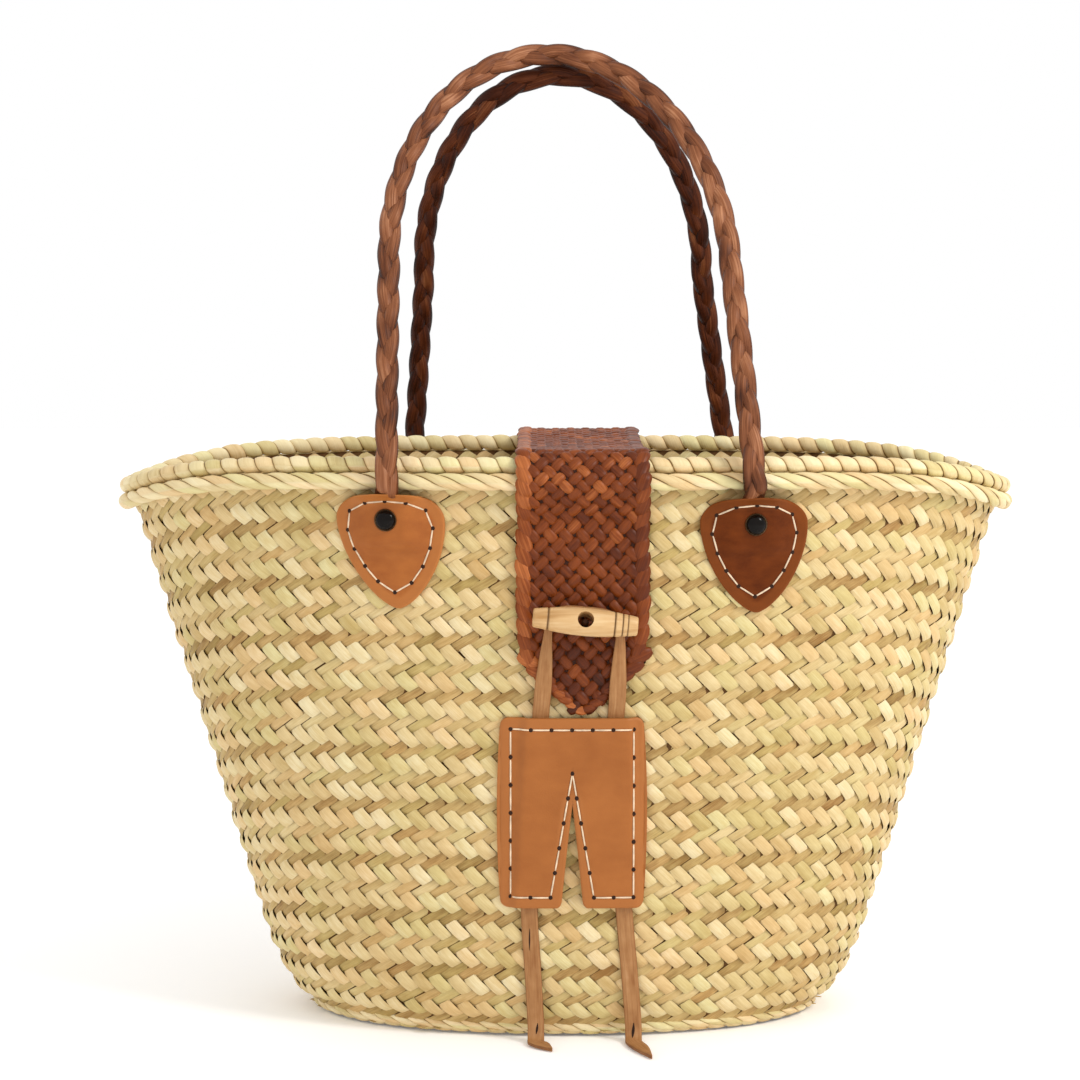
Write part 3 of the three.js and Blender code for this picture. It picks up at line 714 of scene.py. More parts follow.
def strip_tones(centres, pitch, rise, slant, spread):
    """A tone from 0 to 1 for each leaf; leaves of one strip are alike."""
    strip = np.round(centres[:, 0] / pitch + slant * centres[:, 1] / rise).astype(int)
    table = RANDOM.uniform(0, 1, 4096)
    own = RANDOM.uniform(0, 1, len(centres))
    return 0.5 + spread * (0.6 * table[strip % 4096] + 0.4 * own - 0.5)


def twill_rows(reach, bottom, top):
    """Centres of the falling and rising leaves of a twill between two heights; reach(v) is its half width."""
    found = {1: [], -1: []}
    for slant, u_share, v_share in ((-1, 0.25, 0.125), (1, 0.75, 0.625)):
        for k in range(math.ceil(bottom / LEAF_RISE - v_share), math.floor(top / LEAF_RISE - v_share) + 1):
            v = (k + v_share) * LEAF_RISE
            half = float(reach(v))
            shift = u_share + LEAF_SHEAR * v / LEAF_PITCH
            m = np.arange(math.ceil(-half / LEAF_PITCH - shift), math.floor(half / LEAF_PITCH - shift) + 1)
            u = (m + shift) * LEAF_PITCH
            found[slant].append(np.stack([u, np.full(len(u), v)], 1))
    return {slant: np.concatenate(rows) for slant, rows in found.items()}


def groove(v):
    """How far the plait dips where two bands of it are sewn together."""
    from_seam = (v - BAND_START + BAND_RISE / 2) % BAND_RISE - BAND_RISE / 2
    return BAND_GROOVE * np.exp(-(from_seam / 3) ** 2)


# The falling and the rising leaves: how far their ends, middle and crown stand out, how far they reach under
# their neighbours, and their painted light: the proud falling leaves painted lighter, the low rising ones
# darker as painted shade
TWILL_LEAVES = {
    -1: dict(low=-1.0, high=0.35, crown=0.9, tuck=1.14, painted_light=0.09),
    1: dict(low=-1.6, high=-0.7, crown=0.5, tuck=1.12, painted_light=-0.08),
}


def twill(rows, surface, proud, grid):
    """Falling leaves that stand proud and rising ones that lie lower, each two strips long and one wide.
    proud scales how far they stand out."""
    parts = []
    for slant, centres in rows.items():
        rise = slant * LEAF_RISE / 8
        own = np.array([LEAF_PITCH / 4 + LEAF_SHEAR * rise, rise])
        other = np.array([LEAF_PITCH / 4 - LEAF_SHEAR * rise, -rise])
        leaf = TWILL_LEAVES[slant]
        tones = strip_tones(centres, LEAF_PITCH, LEAF_RISE, -slant, 0.42)
        wobble = RANDOM.normal(0, 0.25, centres.shape)
        # Leaves by a seam between bands are painted darker: painted shade in the groove, on top of its dip in
        # shape
        tones = tones - 0.3 * groove(centres[:, 1]) / BAND_GROOVE + leaf["painted_light"]
        parts.append(leaves(
            centres + wobble, 2 * own, other, surface, leaf["low"] * proud, leaf["high"] * proud,
            leaf["crown"] * proud, tones, grid, leaf["tuck"], 1.0))
    return joined(parts)


def basket_weave():
    """The twill of the wall, outside and inside, as a front and a back half."""
    top = MERIDIAN[-1] - LEAF_RISE / 4
    for side, half in ((-1, "front"), (1, "back")):

        def outside(u, v, out):
            return wall_surface(side, u, np.maximum(v, LEAF_FLOOR), out - groove(v))

        def inside(u, v, out):
            return wall_surface(side, u, np.maximum(v, WALL_THICKNESS), -WALL_THICKNESS - out)

        for name, bottom, surface, proud, grid in (
                (half, LEAF_RISE / 8, outside, 1.0, (7, 5)),
                (f"inside_{half}", LEAF_RISE / 4, inside, 0.8, (5, 4))):
            rows = twill_rows(lambda v: half_girth(v) + END_LAP, bottom, top)
            shape = twill(rows, surface, proud, grid)
            make_piece(f"basket_weave_{name}", shape, STRAW, ["basket_body"], 50)


def base_weave():
    """Flat plait under the base and on the floor inside."""
    length, depth = half_sizes(0.0)
    for name, height, turn, grow in (("under", 1.3, -1, 0.97), ("floor", WALL_THICKNESS + 0.6, 1, 1.02)):

        def reach(v):
            return length * grow * max(1 - abs(v / depth / grow) ** PLAN_POWER, 0) ** (1 / PLAN_POWER)

        def surface(u, v, out):
            return np.stack([u, v, height + turn * out], -1)

        shape = twill(twill_rows(reach, -depth * grow, depth * grow), surface, 0.7, (5, 4))
        make_piece(f"base_weave_{name}", shape, STRAW, ["basket_body"], 50)


def basket_shade_core():
    """A dark sheet of painted shade under both faces of the plait, seen only between its leaves."""
    count = 240
    angles = np.linspace(0, 2 * np.pi, count + 1)[:-1]

    def rings(outward, height, rises):
        found = [wall_point(angles, np.full(count, rise), outward) for rise in rises]
        found[0][:, 2] = height
        return found

    outer = rings(-CORE_UNDER_OUTSIDE, CORE_BOTTOM, RISES)
    inner = rings(CORE_UNDER_INSIDE - WALL_THICKNESS, WALL_THICKNESS, RISES)
    make_piece("basket_shade_core", tube(outer + inner[::-1]), STRAW_SHADE, ["basket_body"])


# Rim: leaf wound round a core

# Where the rows of points stand within a wrap: close together at its edges
WRAP_SHARES = np.array([0, 0.025, 0.07, 0.15, 0.27, 0.42, 0.58, 0.73, 0.85, 0.93, 0.975])


def wound_ring(name, rise, seat, radius, pitch, starts, step, material, replaces):
    """A ring of wraps. seat(angle) is how far out and up its middle line lies. starts is how many wraps lie
    side by side in one turn, so it sets their slant; each wrap swells by step between its edges."""
    sides = WRAP_SIDES
    rows = len(WRAP_SHARES)
    fine = np.linspace(0, 2 * np.pi, 1441)
    lengths = along(wall_point(fine, np.full(len(fine), rise), *seat(fine), level=True))
    wraps = round(lengths[-1] / pitch)
    turn = np.linspace(0, 2 * np.pi, sides, endpoint=False)
    share = np.tile(WRAP_SHARES, wraps)
    wrap = np.repeat(np.arange(wraps), rows)
    phase = (wrap + share)[:, None] - starts * turn[None] / (2 * np.pi)
    angle = np.interp((phase / wraps) % 1 * lengths[-1], lengths, fine)
    cushion = 1 - np.abs(2 * share - 1) ** 2.6
    relief = step * (cushion - 0.85 + 0.3 * (0.5 - share)) + RANDOM.normal(0, 0.12, wraps)[wrap]
    reach = (radius + relief)[:, None]
    outward, up = seat(angle)
    points = wall_point(
        angle, np.full(angle.shape, rise), outward + reach * np.cos(turn), up + reach * np.sin(turn), True)
    count = wraps * rows
    row, side = (a.ravel() for a in np.meshgrid(np.arange(count), np.arange(sides), indexing="ij"))
    beyond = np.where(side == sides - 1, row - starts * rows, row) % count
    beyond_side = (side + 1) % sides
    faces = np.stack([
        row * sides + side, beyond * sides + beyond_side,
        (beyond + 1) % count * sides + beyond_side, (row + 1) % count * sides + side,
    ], 1)
    # Each wrap is painted darker towards its two edges: painted shade in the crevices between wraps
    tones = 0.56 + 0.4 * (RANDOM.uniform(0, 1, wraps)[wrap] - 0.5) - 0.75 * np.abs(2 * share - 1) ** 14
    grain = np.stack(np.broadcast_arrays(
        turn[None] * radius + 37.0 * wrap[:, None], (share * pitch + 11.0 * wrap)[:, None],
        RANDOM.uniform(0, 1, wraps)[wrap][:, None]), -1)
    values = {"tone": np.repeat(tones, sides), "grain": grain.reshape(-1, 3)}
    make_piece(name, (points, [faces], values), material, replaces)


def coil_seat(angle):
    """Middle line of the coil: over the wall's edge, and out over the rope towards the bag's ends."""
    end = np.abs(np.cos(angle)) ** END_DROP_POWER
    return COIL_END_OUT * end - WALL_THICKNESS / 2, COIL_UP + COIL_END_UP * end


def rim():
    """The coil on the edge, the twisted rope under it, and the last row of plait round the base."""
    wound_ring("rim_coil_wound", 1.0, coil_seat, COIL_RADIUS, WRAP_PITCH, 1, 1.2,
               STRAW_RIM, ["rim_coil"])
    wound_ring("rim_rope_twisted", ROPE_RISE, lambda angle: (ROPE_OUT + 0 * angle, 0 * angle), ROPE_RADIUS,
               TWIST_PITCH, 3, 1.5, STRAW_RIM, ["rim_rope"])
    wound_ring("base_edge_plait", BASE_EDGE_RISE, lambda angle: (0 * angle - BASE_EDGE_INWARD, 0 * angle),
               BASE_EDGE_RADIUS, WRAP_PITCH, 3, 1.0, STRAW_RIM, ["basket_body"])


# Handles

def foot_x(foot):
    return foot["across"] * HANDLE_SPREAD


def tab_top(foot):
    return WALL_HEIGHT - foot["drop"] * TAB_DROP


def rivet_height(foot):
    return tab_top(foot) - RIVET_BELOW_TOP


def root_section(foot, height):
    """How far the handle's flat root stands off the wall, its thickness and its width, at a height."""
    plateau = rivet_height(foot) + RIVET_DIAMETER / 2 + GAP
    climb = ease((height - plateau) / (ROPE_HEIGHT - plateau))
    return (
        GAP + (ROPE_REACH + GAP) * climb,
        lerp(TONGUE_THICKNESS, HANDLE_DIAMETER, climb ** 3),
        lerp(TONGUE_WIDTH, HANDLE_DIAMETER, climb),
    )


def handle_line(handle):
    """Centres, facing sides, widths and thicknesses along a handle, from its left foot to its right one."""
    side = handle["side"]
    left, right = handle["feet"]
    apex = WALL_HEIGHT + handle["apex"] * HANDLE_APEX
    spring = WALL_HEIGHT + handle["spring"] * HANDLE_SPRING
    foot_depth = wall_depth(foot_x(left), ROPE_HEIGHT) + ROPE_REACH + 2 * GAP + HANDLE_DIAMETER / 2

    def lean_in(height):
        share = (height - ROPE_HEIGHT) / (apex - ROPE_HEIGHT)
        return side * lerp(foot_depth, APEX_APART, share ** HANDLE_BOW)

    def root(foot):
        heights = np.linspace(rivet_height(foot) - TONGUE_BELOW_RIVET, ROPE_HEIGHT, 24)
        inner, thick, width = root_section(foot, heights)
        centre = on_wall(side, foot_x(foot), heights, inner + thick / 2)
        centre[:, 0], centre[:, 2] = foot_x(foot), heights
        facing = wall_normal(side, foot_x(foot), heights)
        return np.column_stack([centre, facing, width, thick])

    def arch_x(angle):
        return (HANDLE_ARCH * (handle["centre"] + handle["arch"] * np.cos(angle))
                + handle["lean"] * HANDLE_LEAN * np.sin(angle))

    def round_part(x, height):
        x, height = np.broadcast_arrays(x, height)
        ones = np.ones(len(x))
        return np.column_stack([
            x, lean_in(height), height, 0 * ones, side * ones, 0 * ones,
            HANDLE_DIAMETER * ones, HANDLE_DIAMETER * ones,
        ])

    def leg(foot, spring_x):
        share = np.linspace(0, 1, 30)[1:-1]
        return round_part(lerp(foot_x(foot), spring_x, share), lerp(ROPE_HEIGHT, spring, share))

    angle = np.linspace(np.pi, 0, 120)
    arch = round_part(arch_x(angle), spring + (apex - spring) * np.sin(angle))
    return np.vstack([
        root(left), leg(left, arch_x(np.pi)), arch, leg(right, arch_x(0.0))[::-1], root(right)[::-1]])


def handle(handle_row, material, slot):
    """A braid of three round strands."""
    rows = handle_line(handle_row)
    lengths = along(rows[:, :3])
    rows_per_turn = 44
    count = int(lengths[-1] / BRAID_TURN * rows_per_turn)
    at = np.linspace(0, lengths[-1], count)
    rows = np.stack([np.interp(at, lengths, rows[:, k]) for k in range(rows.shape[1])], 1)
    centre, width, thick = rows[:, :3], rows[:, 6:7], rows[:, 7:8]
    tangent = unit(np.gradient(centre, axis=0))
    out = unit(rows[:, 3:6] - (rows[:, 3:6] * tangent).sum(1, keepdims=True) * tangent)
    across = np.cross(tangent, out)
    sides = 14
    size, flat = width / HANDLE_DIAMETER, thick / HANDLE_DIAMETER
    parts = []
    for strand in range(3):
        turn = 2 * np.pi * (at / BRAID_TURN + strand / 3)[:, None]
        line = (centre + across * BRAID_SWAY * signed_power(np.sin(turn), 0.8) * size
                + out * BRAID_DEPTH * np.sin(2 * turn) * flat)
        rings = swept(
            line, out, BRAID_STRAND_WIDTH * size[:, 0], BRAID_STRAND_THICKNESS * flat[:, 0], sides, 0.85)
        knots = np.arange(0, lengths[-1] + 12, 12)
        swing = np.interp(at, knots, RANDOM.uniform(-0.3, 0.3, len(knots)))
        girth = np.tile(np.arange(sides) / sides * 21, count)
        grain = np.column_stack([np.repeat(at, sides) + 400 * strand, girth + 60 * strand, 0 * girth + 0.5])
        # The strands' sides are painted darker: painted shade in the crevices between the strands
        edge = 0.5 * np.abs(np.cos(2 * np.pi * (np.arange(sides) + 0.5) / sides)) ** 5
        tones = np.repeat(0.55 + swing, sides) - np.tile(edge, count)
        parts.append(tube(rings, {"tone": tones, "grain": grain}))
    name = f"handle_{handle_row['name']}"
    make_piece(f"{name}_braid", joined(parts), material, [name], 60)


# Leather sheets with stitching

def distance_to(line, points):
    """Distance from each point to a closed line, both in the sheet's own plane."""
    start, end = line, np.roll(line, -1, axis=0)
    step = end - start
    size = np.maximum((step ** 2).sum(1), 1e-9)
    best = np.full(len(points), 1e9)
    for a, d, s in zip(start, step, size):
        share = np.clip(((points - a) @ d) / s, 0, 1)
        best = np.minimum(best, np.linalg.norm(points - a - share[:, None] * d, axis=1))
    return best


def leather_sheet(name, flat, counts, outline, stitch_line, surface, thickness, material, replaces):
    """A closed sheet. flat is its grid of places in its own plane, surface(x, z, outward) lays it on the bag.
    Its border is rounded over, and a shallow groove runs where the stitches are."""
    edge = distance_to(outline, flat)
    dip = STITCH_GROOVE * np.exp(-(distance_to(stitch_line, flat) / 0.9) ** 2)
    rounding = 0.7 * np.clip(1 - edge / 1.4, 0, 1) ** 2
    top = surface(flat[:, 0], flat[:, 1], thickness - dip - rounding)
    under = surface(flat[:, 0], flat[:, 1], 0 * edge)
    rim_value = np.clip(1 - edge / 2.2, 0, 1) ** 0.7
    rim_value = np.maximum(rim_value, 0.55 * np.clip((STITCH_INSET + 0.6 - edge) / 1.5, 0, 1))
    shape = closed_sheet(under, top, *counts, {"rim": np.concatenate([rim_value, rim_value])})
    make_piece(name, shape, material, replaces, 55)


# Radius and height above the leather of the rings of the dark dot, painted shade, that shows as a stitch hole
HOLE_PROFILE = ((1.2, -0.2), (1.2, 0.32), (0.7, 0.4))


def stitching(name, line, corners, counts, surface, thickness):
    """A thread lying from hole to hole along a closed line, and the holes as dark dots of painted shade.
    Holes sit on the corners, and counts holds how many stitches run from each to the next."""
    marks = []
    for a, b, count in zip(corners, corners[1:] + [corners[0] + len(line)], counts):
        stretch = np.take(line, range(a, b + 1), axis=0, mode="wrap")
        marks.append(resampled(stretch, count + 1)[:-1])
    holes = np.concatenate(marks)
    threads, dots = [], []
    for a, b in zip(holes, np.roll(holes, -1, axis=0)):
        share = np.linspace(0.1, 0.9, 9)
        flat = a + (b - a) * share[:, None]
        height = thickness - 0.5 + 0.55 * np.sin(np.pi * share) ** 0.5
        centre = surface(flat[:, 0], flat[:, 1], height)
        facing = surface(flat[:, 0], flat[:, 1], height + 1) - centre
        girth = STITCH_THICKNESS * (0.55 + 0.45 * np.sin(np.pi * share) ** 0.5)
        threads.append(tube(swept(centre, facing, girth, girth * 0.7, 8, 1)))
        here = surface(a[:1], a[1:], np.array([thickness - 0.42]))[0]
        above = surface(a[:1], a[1:], np.array([thickness + 0.6]))[0]
        normal = unit(above - here)
        side = unit(np.cross(normal, [0.3, 0.1, 1]))
        circle = unit_circle(side, np.cross(normal, side), 12)
        dots.append(tube([here + circle * radius + normal * rise for radius, rise in HOLE_PROFILE]))
    make_piece(f"{name}_stitches", joined(threads), THREAD)
    make_piece(f"{name}_holes", joined(dots), PAINTED_SHADE_DARK)


def tab(handle_row, foot):
    side = handle_row["side"]
    name = f"{handle_row['name']}_{foot['name']}"
    shoulder = tab_top(foot) - TAB_SHOULDER

    def outline_part(across):
        top = TAB_SHOULDER * (1 - np.abs(across) ** TAB_TOP_POWER) ** (1 / TAB_TOP_POWER)
        bottom = (TAB_HEIGHT - TAB_SHOULDER) * (1 - np.abs(across) ** TAB_TIP_POWER) ** TAB_TIP_ROUNDNESS
        return shoulder - bottom, shoulder + top

    def placed(across, height):
        below = (tab_top(foot) - height) / TAB_HEIGHT
        return np.stack([across * TAB_WIDTH / 2 + foot["skew"] * TAB_SKEW * below, height], -1)

    def surface(x, height, outward):
        inner, thick, _ = root_section(foot, height)
        tongue_end = rivet_height(foot) - TONGUE_BELOW_RIVET
        down = ease((height - (tongue_end - TAB_DIP_START)) / TAB_DIP_RUN)
        over = lift(x, TONGUE_WIDTH / 2 + GAP, TAB_WIDTH / 2 - TAB_SEAM)
        return on_wall(side, foot_x(foot) + x, height, GAP + (inner + thick) * over * down + outward)

    columns, rows = 46, 44
    across = 0.996 * np.sin(np.linspace(-np.pi / 2, np.pi / 2, columns))
    low, high = outline_part(across)
    share = (0.5 - 0.5 * np.cos(np.linspace(0, np.pi, rows)))[:, None]
    flat = placed(across[None] + 0 * share, lerp(low[None], high[None], share)).reshape(-1, 2)
    outline = np.vstack([placed(across, low), placed(across, high)[::-1]])
    piece = f"handle_tab_{name}"
    inner = 1 - 2 * STITCH_INSET / TAB_WIDTH
    middle = np.array([0, shoulder - 6])
    line = (resampled(outline, 240, closed=True) - middle) * inner + middle
    tip = int(np.argmin(line[:, 1]))
    line = np.roll(line, -tip, axis=0)
    leather_sheet(f"{piece}_leather", flat, (rows, columns), outline, line, surface, TAB_THICKNESS,
                  TAB_LEATHER[foot["leather"]], [piece])
    stitching(piece, line, [0], [14], surface, TAB_THICKNESS)
    rivet(side, foot, name, surface)


def rivet(side, foot, name, surface):
    """A dark dome in a paler ring, seated on the tab."""
    height = rivet_height(foot)
    normal = wall_normal(side, foot_x(foot), height)
    seat = surface(np.zeros(1), np.array([height]), np.array([TAB_THICKNESS]))[0] + normal * GAP
    radius = RIVET_DIAMETER / 2
    sideways = unit(np.cross(normal, [0, 0, 1]))
    circle = unit_circle(sideways, np.cross(normal, sideways), 40)
    arc = np.linspace(0.12, np.pi / 2 - 0.06, 12)
    dome = [(0.9, RIVET_RIM * 0.4)]
    dome += [(0.89 * math.cos(a), RIVET_RIM * 0.8 + (RIVET_DOME + 0.2) * math.sin(a)) for a in arc]
    ring = [(0.94, -0.6), (1.0, 0.0), (1.0, RIVET_RIM * 0.6), (0.96, RIVET_RIM), (0.88, RIVET_RIM * 0.7)]
    for part, profile, material in (("dome", dome, RIVET_METAL), ("ring", ring, RIVET_EDGE)):
        shape = tube([seat + circle * radius * share + normal * rise for share, rise in profile])
        make_piece(f"rivet_{name}_{part}", shape, material, [f"rivet_{name}"], 70)


def leg_places(leg):
    """Where a leg of the thong runs, left to right, at each named height."""
    return {place: STRAP_CENTRE + share * THONG_SPREAD for place, share in leg.items() if place != "reach"}


def leg_middle(leg, height):
    """Where a leg's middle line runs under the patch, at a height."""
    places = leg_places(leg)
    return lerp(places["bottom"], places["top"], (height - PATCH_BOTTOM) / (PATCH_TOP - PATCH_BOTTOM))


def patch():
    """The notched patch, lifted a little over the two legs of the thong."""
    centre = (NOTCH_LEFT + NOTCH_RIGHT) / 2

    def surface(x, height, outward):
        left, right = (leg_middle(leg, height) for leg in THONG_LEGS)
        half_apart = (right - left) / 2
        over = lift(x - left - half_apart, half_apart + PATCH_LIFT_FLAT, half_apart + PATCH_LIFT_FADE)
        return on_wall(-1, x, height, GAP + (THONG_THICKNESS + GAP) * over + outward)

    def bowed(x, height):
        middle = (PATCH_LEFT + PATCH_RIGHT) / 2
        share = (height - (PATCH_BOTTOM + PATCH_TOP) / 2) / (PATCH_TOP - PATCH_BOTTOM) * 2
        return np.stack([middle + (x - middle) * (1 - PATCH_WAIST * share ** 2), height], -1)

    corner = PATCH_CORNER * (1 - np.cos(np.linspace(0, np.pi / 2, 8)))
    flare_left, flare_right = NOTCH_LEFT - NOTCH_FLARE_WIDTH, NOTCH_RIGHT + NOTCH_FLARE_WIDTH
    x = np.concatenate([
        PATCH_LEFT + corner,
        np.linspace(PATCH_LEFT + PATCH_CORNER, flare_left, 22)[1:],
        np.linspace(flare_left, centre, 16)[1:],
        np.linspace(centre, flare_right, 16)[1:],
        np.linspace(flare_right, PATCH_RIGHT - PATCH_CORNER, 22)[1:],
        (PATCH_RIGHT - corner)[::-1][1:],
    ])
    inset = np.maximum(PATCH_CORNER - np.minimum(x - PATCH_LEFT, PATCH_RIGHT - x), 0)
    cut = 0.93 * (PATCH_CORNER - np.sqrt(PATCH_CORNER ** 2 - inset ** 2))
    half = (NOTCH_RIGHT - NOTCH_LEFT) / 2
    from_centre = np.abs(x - centre)
    notch = NOTCH_HEIGHT * np.clip(1 - from_centre / half, 0, 1) ** 0.92
    flare = NOTCH_FLARE * np.clip(1 - (from_centre - half) / NOTCH_FLARE_WIDTH, 0, 1) ** 2
    flare = flare * (from_centre >= half)
    notch = np.where(notch > 0, notch + NOTCH_FLARE * np.clip(1 - notch / 12, 0, 1), flare)
    low = PATCH_BOTTOM + cut + notch
    high = PATCH_TOP - cut
    rows = 70
    share = (0.5 - 0.5 * np.cos(np.linspace(0, np.pi, rows)))[:, None]
    flat = bowed(x[None] + 0 * share, lerp(low[None], high[None], share)).reshape(-1, 2)
    outline = np.vstack([bowed(x, low), bowed(x, high)[::-1]])
    bottom, top = PATCH_BOTTOM + STITCH_INSET, PATCH_TOP - STITCH_INSET
    apex = PATCH_BOTTOM + NOTCH_HEIGHT + 2.9 * STITCH_INSET
    corners = np.array([
        (PATCH_LEFT + STITCH_INSET, bottom), (PATCH_LEFT + STITCH_INSET, top),
        (PATCH_RIGHT - STITCH_INSET, top), (PATCH_RIGHT - STITCH_INSET, bottom),
        (NOTCH_RIGHT + STITCH_INSET, bottom), (centre, apex), (NOTCH_LEFT - STITCH_INSET, bottom),
    ])
    corners = bowed(corners[:, 0], corners[:, 1])
    per_side = 30
    line = np.concatenate([
        lerp(a, b, np.linspace(0, 1, per_side, endpoint=False)[:, None])
        for a, b in zip(corners, np.roll(corners, -1, axis=0))])
    leather_sheet("front_patch_leather", flat, (rows, len(x)), outline, line, surface, PATCH_THICKNESS,
                  PATCH_LEATHER, ["front_patch"])
    starts = [k * per_side for k in range(len(corners))]
    stitching("front_patch", line, starts, [6, 6, 6, 2, 5, 5, 2], surface, PATCH_THICKNESS)


# Closing strap

def strap_line():
    """Inner face of the strap at its middle line: depth, height and half width, from tip to back end."""
    half = STRAP_WIDTH / 2

    def roll(sign, depth, height, radius, angles):
        angles = np.radians(angles)
        reach = radius + GAP
        return [(sign * (depth + reach * math.cos(a)), height + reach * math.sin(a), half) for a in angles]

    def over_rim(sign):
        rope = wall_depth(STRAP_CENTRE, ROPE_HEIGHT) + ROPE_OUT
        coil = wall_depth(STRAP_CENTRE, WALL_HEIGHT) - WALL_THICKNESS / 2
        return (roll(sign, rope, ROPE_HEIGHT, ROPE_RADIUS, np.linspace(*STRAP_ON_ROPE, 12))
                + roll(sign, coil, WALL_HEIGHT + COIL_UP, COIL_RADIUS, np.linspace(*STRAP_ON_COIL, 9)))

    def wall_at(sign, height):
        return sign * (wall_depth(STRAP_CENTRE, height) + GAP)

    shares = np.array([0.01, 0.03, 0.07, 0.13, 0.2, 0.3, 0.42, 0.56, 0.7, 0.85, 1])
    taper = [(wall_at(-1, STRAP_TIP + STRAP_TAPER * s), STRAP_TIP + STRAP_TAPER * s,
              half * lerp(s, math.sqrt(s), STRAP_TIP_ROUNDNESS)) for s in shares]
    leave = ROPE_HEIGHT - STRAP_LEAVE
    rising = [(wall_at(-1, z), z, half) for z in np.linspace(STRAP_TIP + STRAP_TAPER, leave, 16)[1:]]
    across = [(s * (RIM_HALF_DEPTH - COIL_RADIUS * 2), COIL_TOP + GAP - STRAP_SAG * (1 - s * s), half)
              for s in np.linspace(-1, 1, 21)[1:-1]]
    falling = [(wall_at(1, z), z, half) for z in np.linspace(leave, COIL_TOP - STRAP_BACK_LENGTH, 10)]
    return np.array(taper + rising + over_rim(-1) + across + over_rim(1)[::-1] + falling)


STRAP = strap_line()
STRAP_TANGENT = unit(np.gradient(STRAP[:, :2], axis=0))
STRAP_NORMAL = np.stack([-STRAP_TANGENT[:, 1], STRAP_TANGENT[:, 0]], 1)
STRAP_LENGTH = along(STRAP[:, :2] + STRAP_THICKNESS * STRAP_NORMAL)


def strap_surface(u, v, outward):
    """Strap points by the distance from its middle line, the distance from its tip, and outwards."""
    v = np.clip(v, 0, STRAP_LENGTH[-1])
    depth, height, along_y, along_z = (np.interp(v, STRAP_LENGTH, column) for column in (
        STRAP[:, 0], STRAP[:, 1], STRAP_TANGENT[:, 0], STRAP_TANGENT[:, 1]))
    size = np.hypot(along_y, along_z)
    depth = depth - along_z / size * outward
    height = height + along_y / size * outward
    x = STRAP_CENTRE + u
    level = np.minimum(height, WALL_HEIGHT)
    follow = wall_depth(x, level) / wall_depth(STRAP_CENTRE, level)
    return np.stack([x, depth * follow, height], -1)


def strap_weave():
    """A plain plait on the bias, its strips folded back along both edges."""
    strand = np.array([STRAND_PITCH / 4, STRAND_RISE / 4])
    for face, name in ((1, "outer"), (-1, "inner")):
        base = STRAP_THICKNESS - 0.9 if face > 0 else 0.9

        def surface(u, v, out):
            return strap_surface(u, v, base + face * out)

        parts = []
        for slant in (-1, 1):
            found = []
            shift = 0 if slant < 0 else 0.5
            for k in range(int(STRAP_LENGTH[-1] / STRAND_RISE) + 1):
                v = (k + shift) * STRAND_RISE
                margin = float(lerp(3.4, 6.2, ease(v / 40)))
                half = float(np.interp(v, STRAP_LENGTH, STRAP[:, 2])) - margin
                reach = half / STRAND_PITCH
                m = np.arange(math.ceil(-reach - shift), math.floor(reach - shift) + 1)
                found.append(np.stack([(m + shift) * STRAND_PITCH, np.full(len(m), v)], 1))
            centres = np.concatenate(found)
            tones = strip_tones(centres, STRAND_PITCH, STRAND_RISE, -slant, 0.5)
            # Darker towards the tip, and lighter where the strap climbs to the rim and over it: painted light
            # there
            tones = tones - 0.12 * ease((60 - centres[:, 1]) / 60) + 0.1 * ease((centres[:, 1] - 90) / 40)
            centres = centres + RANDOM.normal(0, 0.2, centres.shape)
            parts.append(leaves(centres, strand * [1, slant], strand * [1, -slant], surface,
                                -1.3, 0.1, 1.3, tones, (7, 6), 1.42, 0.9, 0.4))
        if face > 0:
            parts += strap_edges(surface)
        make_piece(f"closure_strap_weave_{name}", joined(parts), STRAP_LEATHER,
                   ["closure_strap"], 55)


def strap_edges(surface):
    """The folds of the strips along both sides and round the tip."""
    parts = []
    corner = math.hypot(STRAP_WIDTH / 2, STRAP_TAPER)
    for sign in (-1, 1):
        border = resampled(np.column_stack([sign * STRAP[:, 2], STRAP_LENGTH]), 1200)
        lengths = along(border)
        found = []
        step = 2.0 if sign < 0 else 4.5
        while step < lengths[-1] - 4:
            found.append(step)
            step += STRAND_RISE * lerp(0.5, 0.8, ease((step - 10) / 40))
        at = np.array(found)
        size = lerp(0.62, 1, ease((at - 10) / 40))[:, None]
        place = np.stack([np.interp(at, lengths, border[:, k]) for k in (0, 1)], 1)
        tangent = unit(np.stack([np.interp(at, lengths, np.gradient(border[:, k])) for k in (0, 1)], 1))
        inward = np.stack([tangent[:, 1], -tangent[:, 0]], 1) * -sign
        bend = np.exp(-((at - corner) / 10) ** 2)[:, None]
        inset = inward * (FOLD_INSET * size + FOLD_CORNER_INSET * bend)
        centre = place + inset + RANDOM.normal(0, 0.25, place.shape)
        long_half = (tangent * 0.94 - inward * 0.34) * FOLD_HALF_LENGTH * size
        short_half = (inward * 0.94 + tangent * 0.34) * FOLD_HALF_WIDTH * size
        # The folds along the left edge are painted lighter and those on the right darker: painted light and
        # painted shade on the two sides
        tones = 0.6 + RANDOM.uniform(-0.16, 0.16, len(centre)) + (0.16 if sign < 0 else -0.1)
        parts.append(leaves(
            centre, long_half, short_half, surface, -1.5, 0.3, 1.6, tones, (9, 7), 1.0, 1.0, 0.55))
    return parts


